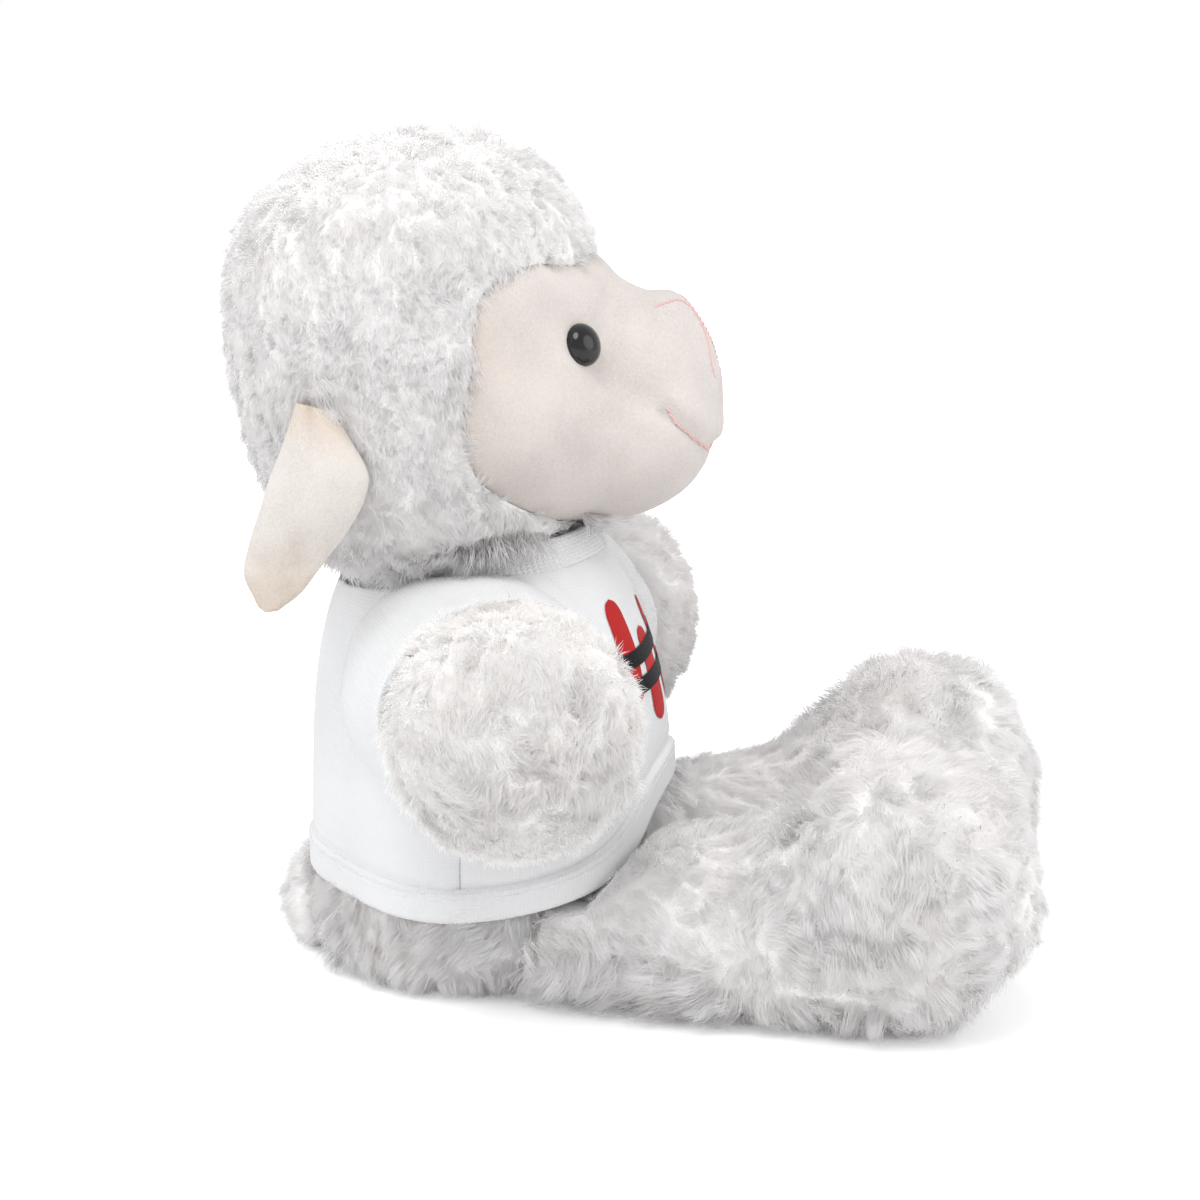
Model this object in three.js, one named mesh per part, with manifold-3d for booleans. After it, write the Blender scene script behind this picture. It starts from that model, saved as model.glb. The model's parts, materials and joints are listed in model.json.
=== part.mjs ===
// A sitting plush lamb in a knitted T-shirt, made of the pieces that it is sewn from.
// Millimetres, +Z up. The lamb faces -Y, so its right side is at -X. The origin is on the floor,
// under the middle of its length.

import * as THREE from "three";
import { mergeVertices } from "three/addons/utils/BufferGeometryUtils.js";
import Module from "manifold-3d";

const wasm = await Module();
wasm.setup();

// Fits and cloths
const CLEARANCE = 0.3; // between pieces that touch
const SKIN = 2.2; // plush backing with the foot of its pile
const CLOTH = 1.4; // shirt jersey with its seams
const EASE = 0.7; // between the torso and the shirt
const FILL_GAP = 0.7; // between a skin and its filling

// Torso
const TORSO_HEIGHT = 101;
const TORSO_DEPTH = 80; // front to back
const TORSO_WIDTH = 84;
const TORSO_SETBACK = 34; // its middle, behind the origin
const SEAT_CUT = 0.5; // what the floor flattens of the rounded seat
const NECK_RADIUS = 25;
const NECK_TILT = 9; // degrees that the neck leans back
const NECK_BACK = 2; // of the neck's base behind the middle of the torso
const NECK_DROP = 3; // of the neck's base below the torso's height
const NECK_RISE = 4; // of the neck's dome above its base
const SHOULDER_DROP = 4; // of the shoulders below the base of the neck

// Head
const HEAD_HEIGHT = 99;
const HEAD_LENGTH = 86;
const HEAD_WIDTH = 93;
const HEAD_SETBACK = 17; // its middle, behind the torso's
const HEAD_SINK = 9; // of its underside below the top of the neck

// Face
const FACE_HEIGHT = 61;
const FACE_WIDTH = 82; // over the cheeks
const FACE_LENGTH = 68; // from inside the head to the tip of the muzzle
const FACE_REACH = 71.3; // of the muzzle's tip before the middle of the head
const FACE_RISE = 40; // of the muzzle's middle above the underside of the head
const FACE_CORNER = 0.24; // how much fuller than an ellipse its back is at the brow

// Eyes
const EYE_RADIUS = 4.9;
const EYE_DOME = 3.5;
const EYE_BACK = 29; // behind the muzzle's tip
const EYE_TURN = 61; // degrees round the face from its ridge
const EYE_AHEAD = 0.4; // how much more than the face under them the eyes look ahead
const EYE_UP = 0.2; // and up
const SHANK_RADIUS = 1.7;
const SHANK_LENGTH = 9;
const WASHER_RADIUS = 6;
const WASHER_THICKNESS = 1.5;
const WASHER_GAP = 2; // under the face panel, which curves

// Stitches
const THREAD_RADIUS = 0.8;
const NOSE_BACK = 15; // of the nose's side ends, behind the muzzle's tip
const NOSE_TURN = 27; // degrees round the face of those ends
const NOSE_FRONT = 1.2; // of the nose's lower point, behind the muzzle's tip
const MOUTH_BACK = 11.5; // of the mouth's corners, behind the muzzle's tip
const MOUTH_FRONT = 2; // of its middle
const MOUTH_TURN = 92; // degrees round the face of its corners

// Ears
const EAR_LENGTH = 46.5;
const EAR_WIDTH = 21.5;
const EAR_PANEL = 2; // thickness of each of its two panels
const EAR_CUP = 3.5; // how far its middle stands out from its edges
const EAR_RISE = 38; // of its root above the underside of the head
const EAR_SETBACK = 15; // of its root behind the middle of the head
const EAR_LEAN = 13; // degrees that it hangs backwards
const EAR_SPLAY = 9; // degrees that it hangs outwards

// Arms
const ARM_LENGTH = 62;
const HAND_RADIUS = 26.3;
const ARM_DROP = 31; // of the shoulder below the torso's top
const ARM_ROOT = 26; // from the middle of the torso to the shoulder
const ARM_FORWARD = 24; // degrees that it points forwards

// Legs
const LEG_LENGTH = 110;
const LEG_RADIUS = 22.5;
const FOOT_HEIGHT = 66;
const FOOT_WIDTH = 51;
const HIP_SPACING = 54; // between the two hips
const HIP_SETBACK = 14; // behind the origin
const LEG_SPREAD = 8.5; // degrees that it points outwards
const TOE_LIFT = 20; // of the sole's curve at the toes

// Tail
const TAIL_LENGTH = 13;
const TAIL_RADIUS = 12.5;
const TAIL_SINK = 2; // of its root in the torso

// Shirt
const HEM_HEIGHT = 8;
const HEM_LAYERS = 1.6; // of cloth, folded and pressed
const HEM_LOW = 18; // of the hem's lower edge above the floor, at the sides
const HEM_FRONT_RISE = 27; // of the hem over the lap
const HEM_BACK_RISE = 7; // of the hem over the tail
const HEM_FLARE = 7; // of the hem over the thighs
const THIGH_ANGLE = 48; // degrees from the front to the middle of each thigh, at the hem
const THIGH_SPAN = 26; // degrees to each side that the flare covers
const HEM_REACH = 6.5; // of the hem behind the torso's back at the tail
const FOLD_DEPTH = 1.2; // of the shirt's hanging folds at the hem
const FOLDS = 7;
const BAND_HEIGHT = 7; // of the neckband
const NECKLINE_OUT = 4; // of the shirt's neck edge, outside the neck
const BAND_FLARE = 1.5; // of its lower edge
const BAND_LOW = 2 * CLEARANCE - SHOULDER_DROP; // its lower edge from the base of the neck
const SLEEVE_LENGTH = 25; // from the shoulder
const ARMHOLE_RADIUS = 27.5;

// Pellet bag
const BAG_HEIGHT = 20;
const BAG_RADIUS = 24;
const BAG_CLOTH = 0.8;
const BAG_MOUTH = 3; // radius of the opening that it is filled through

// Joints, in degrees from rest
const HEAD_TURN = [-20, 20];
const ARM_RAISE = [-8, 20];
const LEG_OUT = [-4, 14];
const EAR_LIFT = [0, 30];
const TAIL_WAG = [-18, 18];
const SWEEP_STEP = 9;

const SIDES = { right: -1, left: 1 };
const UP = new THREE.Vector3(0, 0, 1);
const FORWARD = new THREE.Vector3(0, -1, 0);
const AXIS_X = new THREE.Vector3(1, 0, 0);
const AXIS_Y = new THREE.Vector3(0, 1, 0);

const radians = THREE.MathUtils.degToRad;

// A point by its distance to the lamb's left, in front of the origin and above the floor.
function at(left, forward, up) {
  return new THREE.Vector3(left, -forward, up);
}

// A smooth function through rows of [place, value, value...], with the values of one column.
function column(rows, index) {
  return (place) => {
    const last = rows.length - 1;
    const t = THREE.MathUtils.clamp(place, rows[0][0], rows[last][0]);
    let i = 0;
    while (i < last - 1 && t > rows[i + 1][0]) i++;
    const slope = (k) => {
      const a = rows[Math.max(k - 1, 0)];
      const b = rows[Math.min(k + 1, last)];
      return (b[index] - a[index]) / (b[0] - a[0]);
    };
    const span = rows[i + 1][0] - rows[i][0];
    const s = (t - rows[i][0]) / span;
    const rise = rows[i + 1][index] - rows[i][index];
    const start = slope(i) * span;
    const end = slope(i + 1) * span;
    return rows[i][index] + s * (start + s * (3 * rise - 2 * start - end + s * (start + end - 2 * rise)));
  };
}

// Solids

function solidFrom(points, triangles) {
  const vertProperties = new Float32Array(points.flatMap((point) => point.toArray()));
  const make = (order) =>
    new wasm.Manifold(new wasm.Mesh({ numProp: 3, vertProperties, triVerts: new Uint32Array(order) }));
  const solid = make(triangles);
  return solid.volume() > 0 ? solid : make(triangles.toReversed());
}

function solidOf(geometry) {
  const bare = new THREE.BufferGeometry().setAttribute("position", geometry.getAttribute("position"));
  bare.setIndex(geometry.index);
  const merged = mergeVertices(bare, 1e-4);
  const points = [];
  const position = merged.getAttribute("position");
  for (let i = 0; i < position.count; i++) points.push(new THREE.Vector3().fromBufferAttribute(position, i));
  return solidFrom(points, [...merged.index.array]);
}

// The solid over rings of points that all run the same way round, closed by a point at each end.
function loft(startPoint, rings, endPoint) {
  const count = rings[0].length;
  const points = [startPoint, ...rings.flat(), endPoint];
  const triangles = [];
  const endIndex = points.length - 1;
  for (let i = 0; i < count; i++) {
    const j = (i + 1) % count;
    triangles.push(0, 1 + j, 1 + i);
    for (let r = 0; r < rings.length - 1; r++) {
      const here = 1 + r * count;
      const above = here + count;
      triangles.push(here + i, here + j, above + j, here + i, above + j, above + i);
    }
    const top = endIndex - count;
    triangles.push(endIndex, top + i, top + j);
  }
  return solidFrom(points, triangles);
}

// Points round a full turn, from a function of the angle.
function around(count, pointAt) {
  return Array.from({ length: count }, (_, i) => pointAt((i / count) * 2 * Math.PI));
}

function turned(solid, pivot, axis, degrees) {
  const matrix = new THREE.Matrix4()
    .makeTranslation(pivot)
    .multiply(new THREE.Matrix4().makeRotationAxis(axis, radians(degrees)))
    .multiply(new THREE.Matrix4().makeTranslation(pivot.clone().negate()));
  return solid.transform(matrix.elements);
}

// The space that a solid fills while the joint turns it through its range.
// Turned the other way, it is the space that the solid takes from what the joint carries.
function swept(solid, joint, way) {
  const [low, high] = joint.range;
  const steps = Math.ceil((high - low) / SWEEP_STEP);
  let space = solid;
  for (let i = 0; i <= steps; i++) {
    const degrees = low + ((high - low) * i) / steps;
    space = space.add(turned(solid, joint.pivot, joint.axis, way * degrees));
  }
  return space;
}

// The largest body of a solid, without the crumbs that a cut leaves beside it.
function mainBody(solid) {
  const bodies = solid.decompose();
  return bodies.reduce((best, body) => (body.volume() > best.volume() ? body : best));
}

// A straight rod between two points.
function rod(from, to, radius, sides) {
  const along = to.clone().sub(from);
  const geometry = new THREE.CylinderGeometry(radius, radius, along.length(), sides);
  const turn = new THREE.Quaternion().setFromUnitVectors(AXIS_Y, along.clone().normalize());
  const middle = from.clone().add(to).multiplyScalar(0.5);
  geometry.applyMatrix4(new THREE.Matrix4().compose(middle, turn, new THREE.Vector3(1, 1, 1)));
  return solidOf(geometry);
}

// A turned solid from rows of [radius, height], stood on a base point along an axis.
function lathed(rows, base, axis, sides) {
  const outline = rows.map(([radius, height]) => new THREE.Vector2(radius, height));
  const geometry = new THREE.LatheGeometry(outline, sides);
  const turn = new THREE.Quaternion().setFromUnitVectors(AXIS_Y, axis);
  geometry.applyMatrix4(new THREE.Matrix4().compose(base, turn, new THREE.Vector3(1, 1, 1)));
  return solidOf(geometry);
}

const FAR = 400; // more than the lamb's size

// All that lies between two heights.
function slab(low, high) {
  const geometry = new THREE.BoxGeometry(FAR, FAR, high - low);
  geometry.translate(0, 0, (low + high) / 2);
  return solidOf(geometry);
}

const BELOW_FLOOR = slab(-FAR, 0);
const PAST = 3; // how far a cutter runs past the edge that it cuts
const COARSE = 1; // room for the corners of a fine form round a coarse one
const INNER_SIDES = 12; // of the hidden inner forms and of the spaces that others leave

// The rows of a form. A hidden inner form, which is smaller, needs every second one, with the last.
function rowsFor(rows, grow) {
  return grow >= 0 ? rows : rows.filter((_, i) => i % 2 === 0 || i === rows.length - 1);
}

// The place of a share of a length, in a form that is grown by the same distance at both ends.
function stretched(share, length, grow) {
  return share * (length + 2 * grow) - grow;
}

// Torso
// Rows of share of the height, then the shares of half the depth and half the width, and the shift forwards
// as a share of the depth.
const TORSO_ROWS = [
  [0.0, 0.74, 0.76, -0.031],
  [0.05, 0.88, 0.9, -0.025],
  [0.14, 0.97, 0.98, -0.013],
  [0.28, 1.0, 1.0, 0],
  [0.46, 1.0, 1.0, 0],
  [0.62, 0.98, 0.97, -0.005],
  [0.76, 0.92, 0.9, -0.015],
  [0.88, 0.82, 0.79, -0.025],
  [0.96, 0.71, 0.67, -0.025],
  [1.0, 0.6, 0.57, -0.025],
];
const torsoDepth = column(TORSO_ROWS, 1);
const torsoWidth = column(TORSO_ROWS, 2);
const torsoShift = column(TORSO_ROWS, 3);

// A point of the torso's surface, by the angle from its front, the height and the distance outside it.
function torsoPoint(angle, up, grow) {
  const share = up / TORSO_HEIGHT;
  const deep = (torsoDepth(share) * TORSO_DEPTH) / 2 + grow;
  const wide = (torsoWidth(share) * TORSO_WIDTH) / 2 + grow;
  const middle = torsoShift(share) * TORSO_DEPTH - TORSO_SETBACK;
  return at(Math.sin(angle) * wide, middle + Math.cos(angle) * deep, up);
}

const NECK_BASE = at(0, -TORSO_SETBACK - NECK_BACK, TORSO_HEIGHT - NECK_DROP);
const NECK_AXIS = UP.clone().applyAxisAngle(AXIS_X, radians(-NECK_TILT));

// A point round the neck's axis, by the angle from the front, the radius and the height along the axis.
function neckPoint(angle, radius, height) {
  const flat = at(Math.sin(angle) * radius, Math.cos(angle) * radius, height);
  return flat.applyAxisAngle(AXIS_X, radians(-NECK_TILT)).add(NECK_BASE);
}

const TORSO_SIDES = 22;
const TORSO_STEPS = [0, 0.06, 0.16, 0.32, 0.52, 0.7, 0.84, 0.94, 1];

function torsoForm(grow, sides = TORSO_SIDES) {
  const rings = rowsFor(TORSO_STEPS, grow).map((share) =>
    around(sides, (angle) => torsoPoint(angle, share * TORSO_HEIGHT, grow)),
  );
  const bottom = at(0, -TORSO_SETBACK, -SEAT_CUT - grow);
  const top = at(0, -TORSO_SETBACK, TORSO_HEIGHT + grow);
  const neck = lathed(
    [
      [0, -NECK_RADIUS],
      [NECK_RADIUS + grow, -NECK_RADIUS],
      [NECK_RADIUS + grow, NECK_RISE * 0.3 + grow],
      [NECK_RADIUS * 0.8 + grow, NECK_RISE * 0.8 + grow],
      [0, NECK_RISE + grow],
    ],
    NECK_BASE,
    NECK_AXIS,
    sides,
  );
  const shoulders = neckPoint(0, 0, grow - SHOULDER_DROP);
  const aboveShoulders = rod(shoulders, neckPoint(0, 0, TORSO_HEIGHT), TORSO_WIDTH, 12);
  return loft(bottom, rings, top).subtract(aboveShoulders).add(neck);
}

const torso = torsoForm(0).subtract(BELOW_FLOOR);
const torsoKept = torsoForm(CLEARANCE);

// Joints

const neckTurn = { pivot: NECK_BASE, axis: NECK_AXIS, range: HEAD_TURN };

function shoulderOf(side) {
  const axis = AXIS_Y.clone().multiplyScalar(-side);
  return { pivot: at(side * ARM_ROOT, -TORSO_SETBACK, TORSO_HEIGHT - ARM_DROP), axis, range: ARM_RAISE };
}

function hipOf(side) {
  const axis = UP.clone().multiplyScalar(side);
  return { pivot: at((side * HIP_SPACING) / 2, -HIP_SETBACK, LEG_RADIUS), axis, range: LEG_OUT };
}

// Arms

const ARM_ROWS = [
  [0, 0.72],
  [0.12, 0.78],
  [0.26, 0.85],
  [0.42, 0.94],
  [0.6, 1.0],
  [0.76, 0.93],
  [0.88, 0.74],
  [0.96, 0.42],
];
const armRadius = column(ARM_ROWS, 1);

// A point on the arm's axis, and a ring of points round it.
function armPlace(side, distance) {
  const turn = radians(ARM_FORWARD);
  return shoulderOf(side).pivot.add(at(side * Math.cos(turn) * distance, Math.sin(turn) * distance, 0));
}

function armRing(side, distance, radius, sides) {
  const middle = armPlace(side, distance);
  const turn = radians(ARM_FORWARD);
  const across = at(-side * Math.sin(turn), Math.cos(turn), 0);
  return around(sides, (angle) =>
    middle
      .clone()
      .addScaledVector(across, radius * Math.cos(angle))
      .addScaledVector(UP, radius * Math.sin(angle)),
  );
}

function armForm(side, grow, sides = 18) {
  const rings = ARM_ROWS.map(([share]) =>
    armRing(side, stretched(share, ARM_LENGTH, grow), armRadius(share) * HAND_RADIUS + grow, sides),
  );
  return loft(armPlace(side, -grow), rings, armPlace(side, ARM_LENGTH + grow));
}

// Legs

// Rows of share of the length, then the share of the leg's radius that its height and width reach before
// the foot, and the share of the foot's height and width.
const LEG_ROWS = [
  [0, 0.66, 0.73, 0],
  [0.1, 0.75, 0.83, 0],
  [0.24, 0.87, 0.94, 0],
  [0.42, 0.95, 0.97, 0.02],
  [0.53, 0.98, 1, 0.3],
  [0.63, 1, 1, 0.8],
  [0.74, 1, 1, 1],
  [0.85, 0.9, 0.98, 0.74],
  [0.93, 0.7, 0.82, 0.5],
  [0.98, 0.42, 0.5, 0.25],
];
const TOE_SHARE = 0.79; // of the length, where the sole starts to curve up
const legHeight = column(LEG_ROWS, 1);
const legWidth = column(LEG_ROWS, 2);
const footShare = column(LEG_ROWS, 3);

function legSection(share, grow) {
  const foot = footShare(share);
  const tall = legHeight(share) * LEG_RADIUS + foot * (FOOT_HEIGHT / 2 - LEG_RADIUS);
  const wide = legWidth(share) * LEG_RADIUS + foot * (FOOT_WIDTH / 2 - LEG_RADIUS);
  const toeLift = TOE_LIFT * Math.max(0, (share - TOE_SHARE) / (1 - TOE_SHARE));
  return { tall: tall + grow, wide: wide + grow, middle: tall - SEAT_CUT + toeLift };
}

function legForm(side, grow, sides = 18) {
  const { pivot } = hipOf(side);
  const spread = radians(LEG_SPREAD);
  const along = at(side * Math.sin(spread), Math.cos(spread), 0);
  const across = at(Math.cos(spread), -side * Math.sin(spread), 0);
  const place = (share, sideways, up) =>
    new THREE.Vector3(pivot.x, pivot.y, up)
      .addScaledVector(along, stretched(share, LEG_LENGTH, grow))
      .addScaledVector(across, sideways);
  const rings = LEG_ROWS.map(([share]) => {
    const { tall, wide, middle } = legSection(share, grow);
    return around(sides, (angle) => place(share, wide * Math.sin(angle), middle + tall * Math.cos(angle)));
  });
  const first = place(0, 0, legSection(0, 0).middle);
  const last = place(1, 0, legSection(1, 0).middle);
  return loft(first, rings, last);
}

// Shirt

// Height of the shirt's neck edge and lower edge at an angle from the front.
function neckEdge(angle) {
  return neckPoint(angle, NECK_RADIUS + NECKLINE_OUT, BAND_LOW + CLOTH).z;
}

function hemEdge(angle) {
  const front = Math.pow((1 + Math.cos(angle)) / 2, 4.2);
  const back = Math.pow((1 - Math.cos(angle)) / 2, 2.5);
  return HEM_LOW + HEM_FRONT_RISE * front + HEM_BACK_RISE * back;
}

// How far the hem stands out over each thigh.
function thighFlare(angle, up) {
  const round = Math.atan2(Math.sin(angle), Math.cos(angle));
  const beside = Math.exp(-(((Math.abs(round) - radians(THIGH_ANGLE)) / radians(THIGH_SPAN)) ** 2));
  const low = THREE.MathUtils.clamp(1.8 - (2.5 * up) / TORSO_HEIGHT, 0, 1);
  return HEM_FLARE * beside * low * low;
}

// How far a hanging fold stands out. The folds grow towards the hem.
function foldOut(angle, up) {
  const low = THREE.MathUtils.clamp(1.6 - (2 * up) / TORSO_HEIGHT, 0, 1);
  return (FOLD_DEPTH * low * (1 + Math.cos(FOLDS * angle))) / 2;
}

const SHIRT_SIDES = 28; // four for each fold

// The space inside the shirt's surface, between two edges that are functions of the angle.
function shirtForm(grow, edges, rows = 5, sides = SHIRT_SIDES, fold = foldOut) {
  const ring = (share) =>
    around(sides, (angle) => {
      const [top, bottom] = edges(angle);
      const up = THREE.MathUtils.lerp(top, bottom, share);
      return torsoPoint(angle, up, grow + thighFlare(angle, up) + fold(angle, up));
    });
  const rings = Array.from({ length: rows + 1 }, (_, i) => ring(i / rows));
  const middle = (points) =>
    points.reduce((sum, point) => sum.add(point), new THREE.Vector3()).divideScalar(points.length);
  return loft(middle(rings[0]), rings, middle(rings[rows]));
}

const shirtEdges = (angle) => [neckEdge(angle), hemEdge(angle) + HEM_HEIGHT + CLEARANCE];
const hemEdges = (angle) => [hemEdge(angle) + HEM_HEIGHT, hemEdge(angle)];
const insideHem = (angle) => [hemEdge(angle) + HEM_HEIGHT + PAST, hemEdge(angle) - PAST];
const insideShirt = (angle) => [neckEdge(angle) + PAST, hemEdge(angle)];
const outsideShirt = (angle) => [neckEdge(angle) + PAST, hemEdge(angle) - 2 * CLEARANCE - COARSE];

const shirtInside = shirtForm(EASE, insideShirt);
const shirtTube = shirtForm(EASE + CLOTH, shirtEdges).subtract(shirtInside).subtract(torsoKept);
const hemBand = shirtForm(EASE + CLOTH * HEM_LAYERS, hemEdges, 2)
  .subtract(shirtForm(EASE, insideHem, 2))
  .subtract(torsoKept);

function bandForm(grow) {
  const inner = NECK_RADIUS + 2 * CLEARANCE - grow;
  const outer = NECK_RADIUS + 2 * CLEARANCE + CLOTH * HEM_LAYERS + grow;
  const low = BAND_LOW - grow;
  const high = low + BAND_HEIGHT + 2 * grow;
  const rows = [
    [inner, low],
    [outer + BAND_FLARE, low],
    [outer, high],
    [inner, high],
    [inner, low],
  ];
  return lathed(rows, NECK_BASE, NECK_AXIS, TORSO_SIDES);
}

const neckband = bandForm(0);

// What the head turns over: the neck, its band and the shoulders of the shirt.
const bandTop = BAND_LOW + BAND_HEIGHT;
const neckDish = lathed(
  [
    [0, -NECK_RADIUS * 2.4],
    [NECK_RADIUS * 2.8, -NECK_RADIUS * 2.4],
    [NECK_RADIUS * 2.8, -NECK_RADIUS],
    [NECK_RADIUS * 1.76, -NECK_RADIUS * 0.36],
    [NECK_RADIUS * 1.24, bandTop + 2 * CLEARANCE],
    [NECK_RADIUS * 0.8 + 2 * CLEARANCE, bandTop + 2 * CLEARANCE],
    [0, NECK_RISE + 2 * CLEARANCE],
  ],
  NECK_BASE,
  NECK_AXIS,
  TORSO_SIDES,
);

// Head

const HEAD_BASE = TORSO_HEIGHT + NECK_RISE - HEAD_SINK;
const HEAD_MIDDLE = -TORSO_SETBACK - HEAD_SETBACK; // forward place of the head's middle

// Rows of share of the height, then the shares of half the length and half the width, and the shift forwards
// as a share of the length.
const HEAD_ROWS = [
  [0.02, 0.7, 0.62, 0.058],
  [0.09, 0.8, 0.76, 0.041],
  [0.2, 0.86, 0.87, 0.014],
  [0.35, 0.93, 0.96, -0.006],
  [0.5, 0.99, 1.0, -0.012],
  [0.64, 1.0, 1.0, -0.009],
  [0.77, 0.945, 0.94, 0],
  [0.87, 0.8, 0.79, 0.007],
  [0.95, 0.56, 0.54, 0.016],
  [0.985, 0.32, 0.3, 0.019],
];
const headLength = column(HEAD_ROWS, 1);
const headWidth = column(HEAD_ROWS, 2);
const headShift = column(HEAD_ROWS, 3);

function headPoint(angle, share, grow) {
  const deep = (headLength(share) * HEAD_LENGTH) / 2 + grow;
  const wide = (headWidth(share) * HEAD_WIDTH) / 2 + grow;
  const middle = HEAD_MIDDLE + headShift(share) * HEAD_LENGTH;
  const up = HEAD_BASE + stretched(share, HEAD_HEIGHT, grow);
  return at(Math.sin(angle) * wide, middle + Math.cos(angle) * deep, up);
}

function headForm(grow, sides = 22) {
  const ringAt = ([share]) => around(sides, (angle) => headPoint(angle, share, grow));
  const rings = rowsFor(HEAD_ROWS, grow).map(ringAt);
  const bottom = at(0, HEAD_MIDDLE + headShift(0) * HEAD_LENGTH, HEAD_BASE - grow);
  const top = at(0, HEAD_MIDDLE + headShift(1) * HEAD_LENGTH, HEAD_BASE + HEAD_HEIGHT + grow);
  return loft(bottom, rings, top);
}

// Face

const MUZZLE_TIP = HEAD_MIDDLE + FACE_REACH;
const MUZZLE_RISE = HEAD_BASE + FACE_RISE;

// Rows of share of the length from the back, then the shares of half the height and half the width, the
// rise of the middle as a share of the height, and how much the ridge is narrower than the jaw.
const FACE_ROWS = [
  [0.06, 0.78, 0.76, 0, 0],
  [0.22, 1.0, 0.98, 0.016, 0],
  [0.35, 1.02, 0.99, 0.016, 0],
  [0.46, 1.0, 0.9, 0.01, 0.03],
  [0.56, 0.96, 0.75, 0, 0.06],
  [0.65, 0.9, 0.63, -0.026, 0.14],
  [0.745, 0.84, 0.59, -0.031, 0.2],
  [0.83, 0.79, 0.55, -0.008, 0.24],
  [0.9, 0.66, 0.47, -0.01, 0.2],
  [0.955, 0.46, 0.35, -0.016, 0.1],
  [0.988, 0.26, 0.2, -0.023, 0],
];
const faceHeight = column(FACE_ROWS, 1);
const faceWidth = column(FACE_ROWS, 2);
const faceRise = column(FACE_ROWS, 3);
const faceRidge = column(FACE_ROWS, 4);

// A point of the face, by the angle from its ridge, the distances behind the muzzle's tip and outside.
// Its sections are fuller than ellipses at the brow, where they fill the corners of the hood's opening.
function facePoint(angle, behind, grow) {
  const share = 1 - behind / FACE_LENGTH;
  const tall = (faceHeight(share) * FACE_HEIGHT) / 2 + grow;
  const wide = (faceWidth(share) * FACE_WIDTH) / 2 + grow;
  const narrowing = 1 - faceRidge(share) * Math.cos(angle);
  const corner = Math.cos(angle) > 0 ? Math.sin(2 * angle) ** 4 : 0;
  const full = 1 + FACE_CORNER * corner * THREE.MathUtils.clamp((0.62 - share) / 0.2, 0, 1);
  const up = MUZZLE_RISE + faceRise(share) * FACE_HEIGHT + Math.cos(angle) * tall * full;
  const ahead = MUZZLE_TIP - FACE_LENGTH + stretched(share, FACE_LENGTH, grow);
  return at(Math.sin(angle) * wide * narrowing * full, ahead, up);
}

function faceForm(grow, sides = 22) {
  const rings = FACE_ROWS.map(([share]) =>
    around(sides, (angle) => facePoint(angle, (1 - share) * FACE_LENGTH, grow)),
  );
  const back = at(0, MUZZLE_TIP - FACE_LENGTH - grow, MUZZLE_RISE);
  const tip = at(0, MUZZLE_TIP + grow, MUZZLE_RISE + faceRise(1) * FACE_HEIGHT);
  return loft(back, rings, tip);
}

const faceInside = faceForm(-SKIN, INNER_SIDES);
const headInside = headForm(-SKIN, INNER_SIDES);
const hood = mainBody(headForm(0).subtract(headInside).subtract(faceForm(CLEARANCE)).subtract(neckDish));
const faceShell = faceForm(0).subtract(faceInside).subtract(headInside).subtract(neckDish);

// Eyes

function eyePlace(side) {
  const angle = side * radians(EYE_TURN);
  const step = 0.5;
  const point = facePoint(angle, EYE_BACK, 0);
  const alongFace = facePoint(angle, EYE_BACK - step, 0).sub(facePoint(angle, EYE_BACK + step, 0));
  const roundFace = facePoint(angle + 0.05, EYE_BACK, 0).sub(facePoint(angle - 0.05, EYE_BACK, 0));
  const out = alongFace.cross(roundFace).normalize();
  if (out.x * side < 0) out.negate();
  out.addScaledVector(FORWARD, EYE_AHEAD).addScaledVector(UP, EYE_UP).normalize();
  return { point, out };
}

function eyeOf(side) {
  const { point, out } = eyePlace(side);
  const rows = [
    [0, -EYE_DOME],
    [EYE_RADIUS, -EYE_DOME],
  ];
  const steps = 4;
  for (let i = 0; i <= steps; i++) {
    const turn = (i / steps) * (Math.PI / 2);
    rows.push([EYE_RADIUS * Math.cos(turn), CLEARANCE + EYE_DOME * Math.sin(turn)]);
  }
  rows[rows.length - 1][0] = 0;
  const dome = lathed(rows, point, out, 14).subtract(faceForm(CLEARANCE));
  const shankEnd = point.clone().addScaledVector(out, -SHANK_LENGTH);
  const insideDome = point.clone().addScaledVector(out, EYE_DOME / 2);
  const shank = rod(shankEnd, insideDome, SHANK_RADIUS, 8);
  return dome.add(shank);
}

function shankHole(side) {
  const { point, out } = eyePlace(side);
  const from = point.clone().addScaledVector(out, -SHANK_LENGTH - PAST);
  return rod(from, point.clone().addScaledVector(out, EYE_DOME), SHANK_RADIUS + CLEARANCE, 8);
}

function washerForm(side, grow) {
  const { point, out } = eyePlace(side);
  const depth = SKIN + WASHER_GAP;
  const from = point.clone().addScaledVector(out, -depth - WASHER_THICKNESS - grow);
  const to = point.clone().addScaledVector(out, -depth + grow);
  return rod(from, to, WASHER_RADIUS + grow, 12);
}

const shankHoles = shankHole(SIDES.right).add(shankHole(SIDES.left));
const washerSpaces = washerForm(SIDES.right, CLEARANCE).add(washerForm(SIDES.left, CLEARANCE));
const facePanel = mainBody(faceShell.subtract(shankHoles));
const headFilling = mainBody(
  headForm(-SKIN - FILL_GAP, INNER_SIDES)
    .add(faceForm(-SKIN - FILL_GAP, INNER_SIDES))
    .subtract(neckDish)
    .subtract(shankHoles)
    .subtract(washerSpaces),
);

// Stitches

// A round thread along a curve, with the half of it that would lie in the face taken off.
function thread(curve, steps) {
  const outline = new THREE.Shape();
  outline.absarc(0, 0, THREAD_RADIUS, 0, 2 * Math.PI);
  const geometry = new THREE.ExtrudeGeometry(outline, {
    steps,
    curveSegments: 3,
    extrudePath: curve,
    bevelEnabled: false,
  });
  return solidOf(geometry);
}

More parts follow.
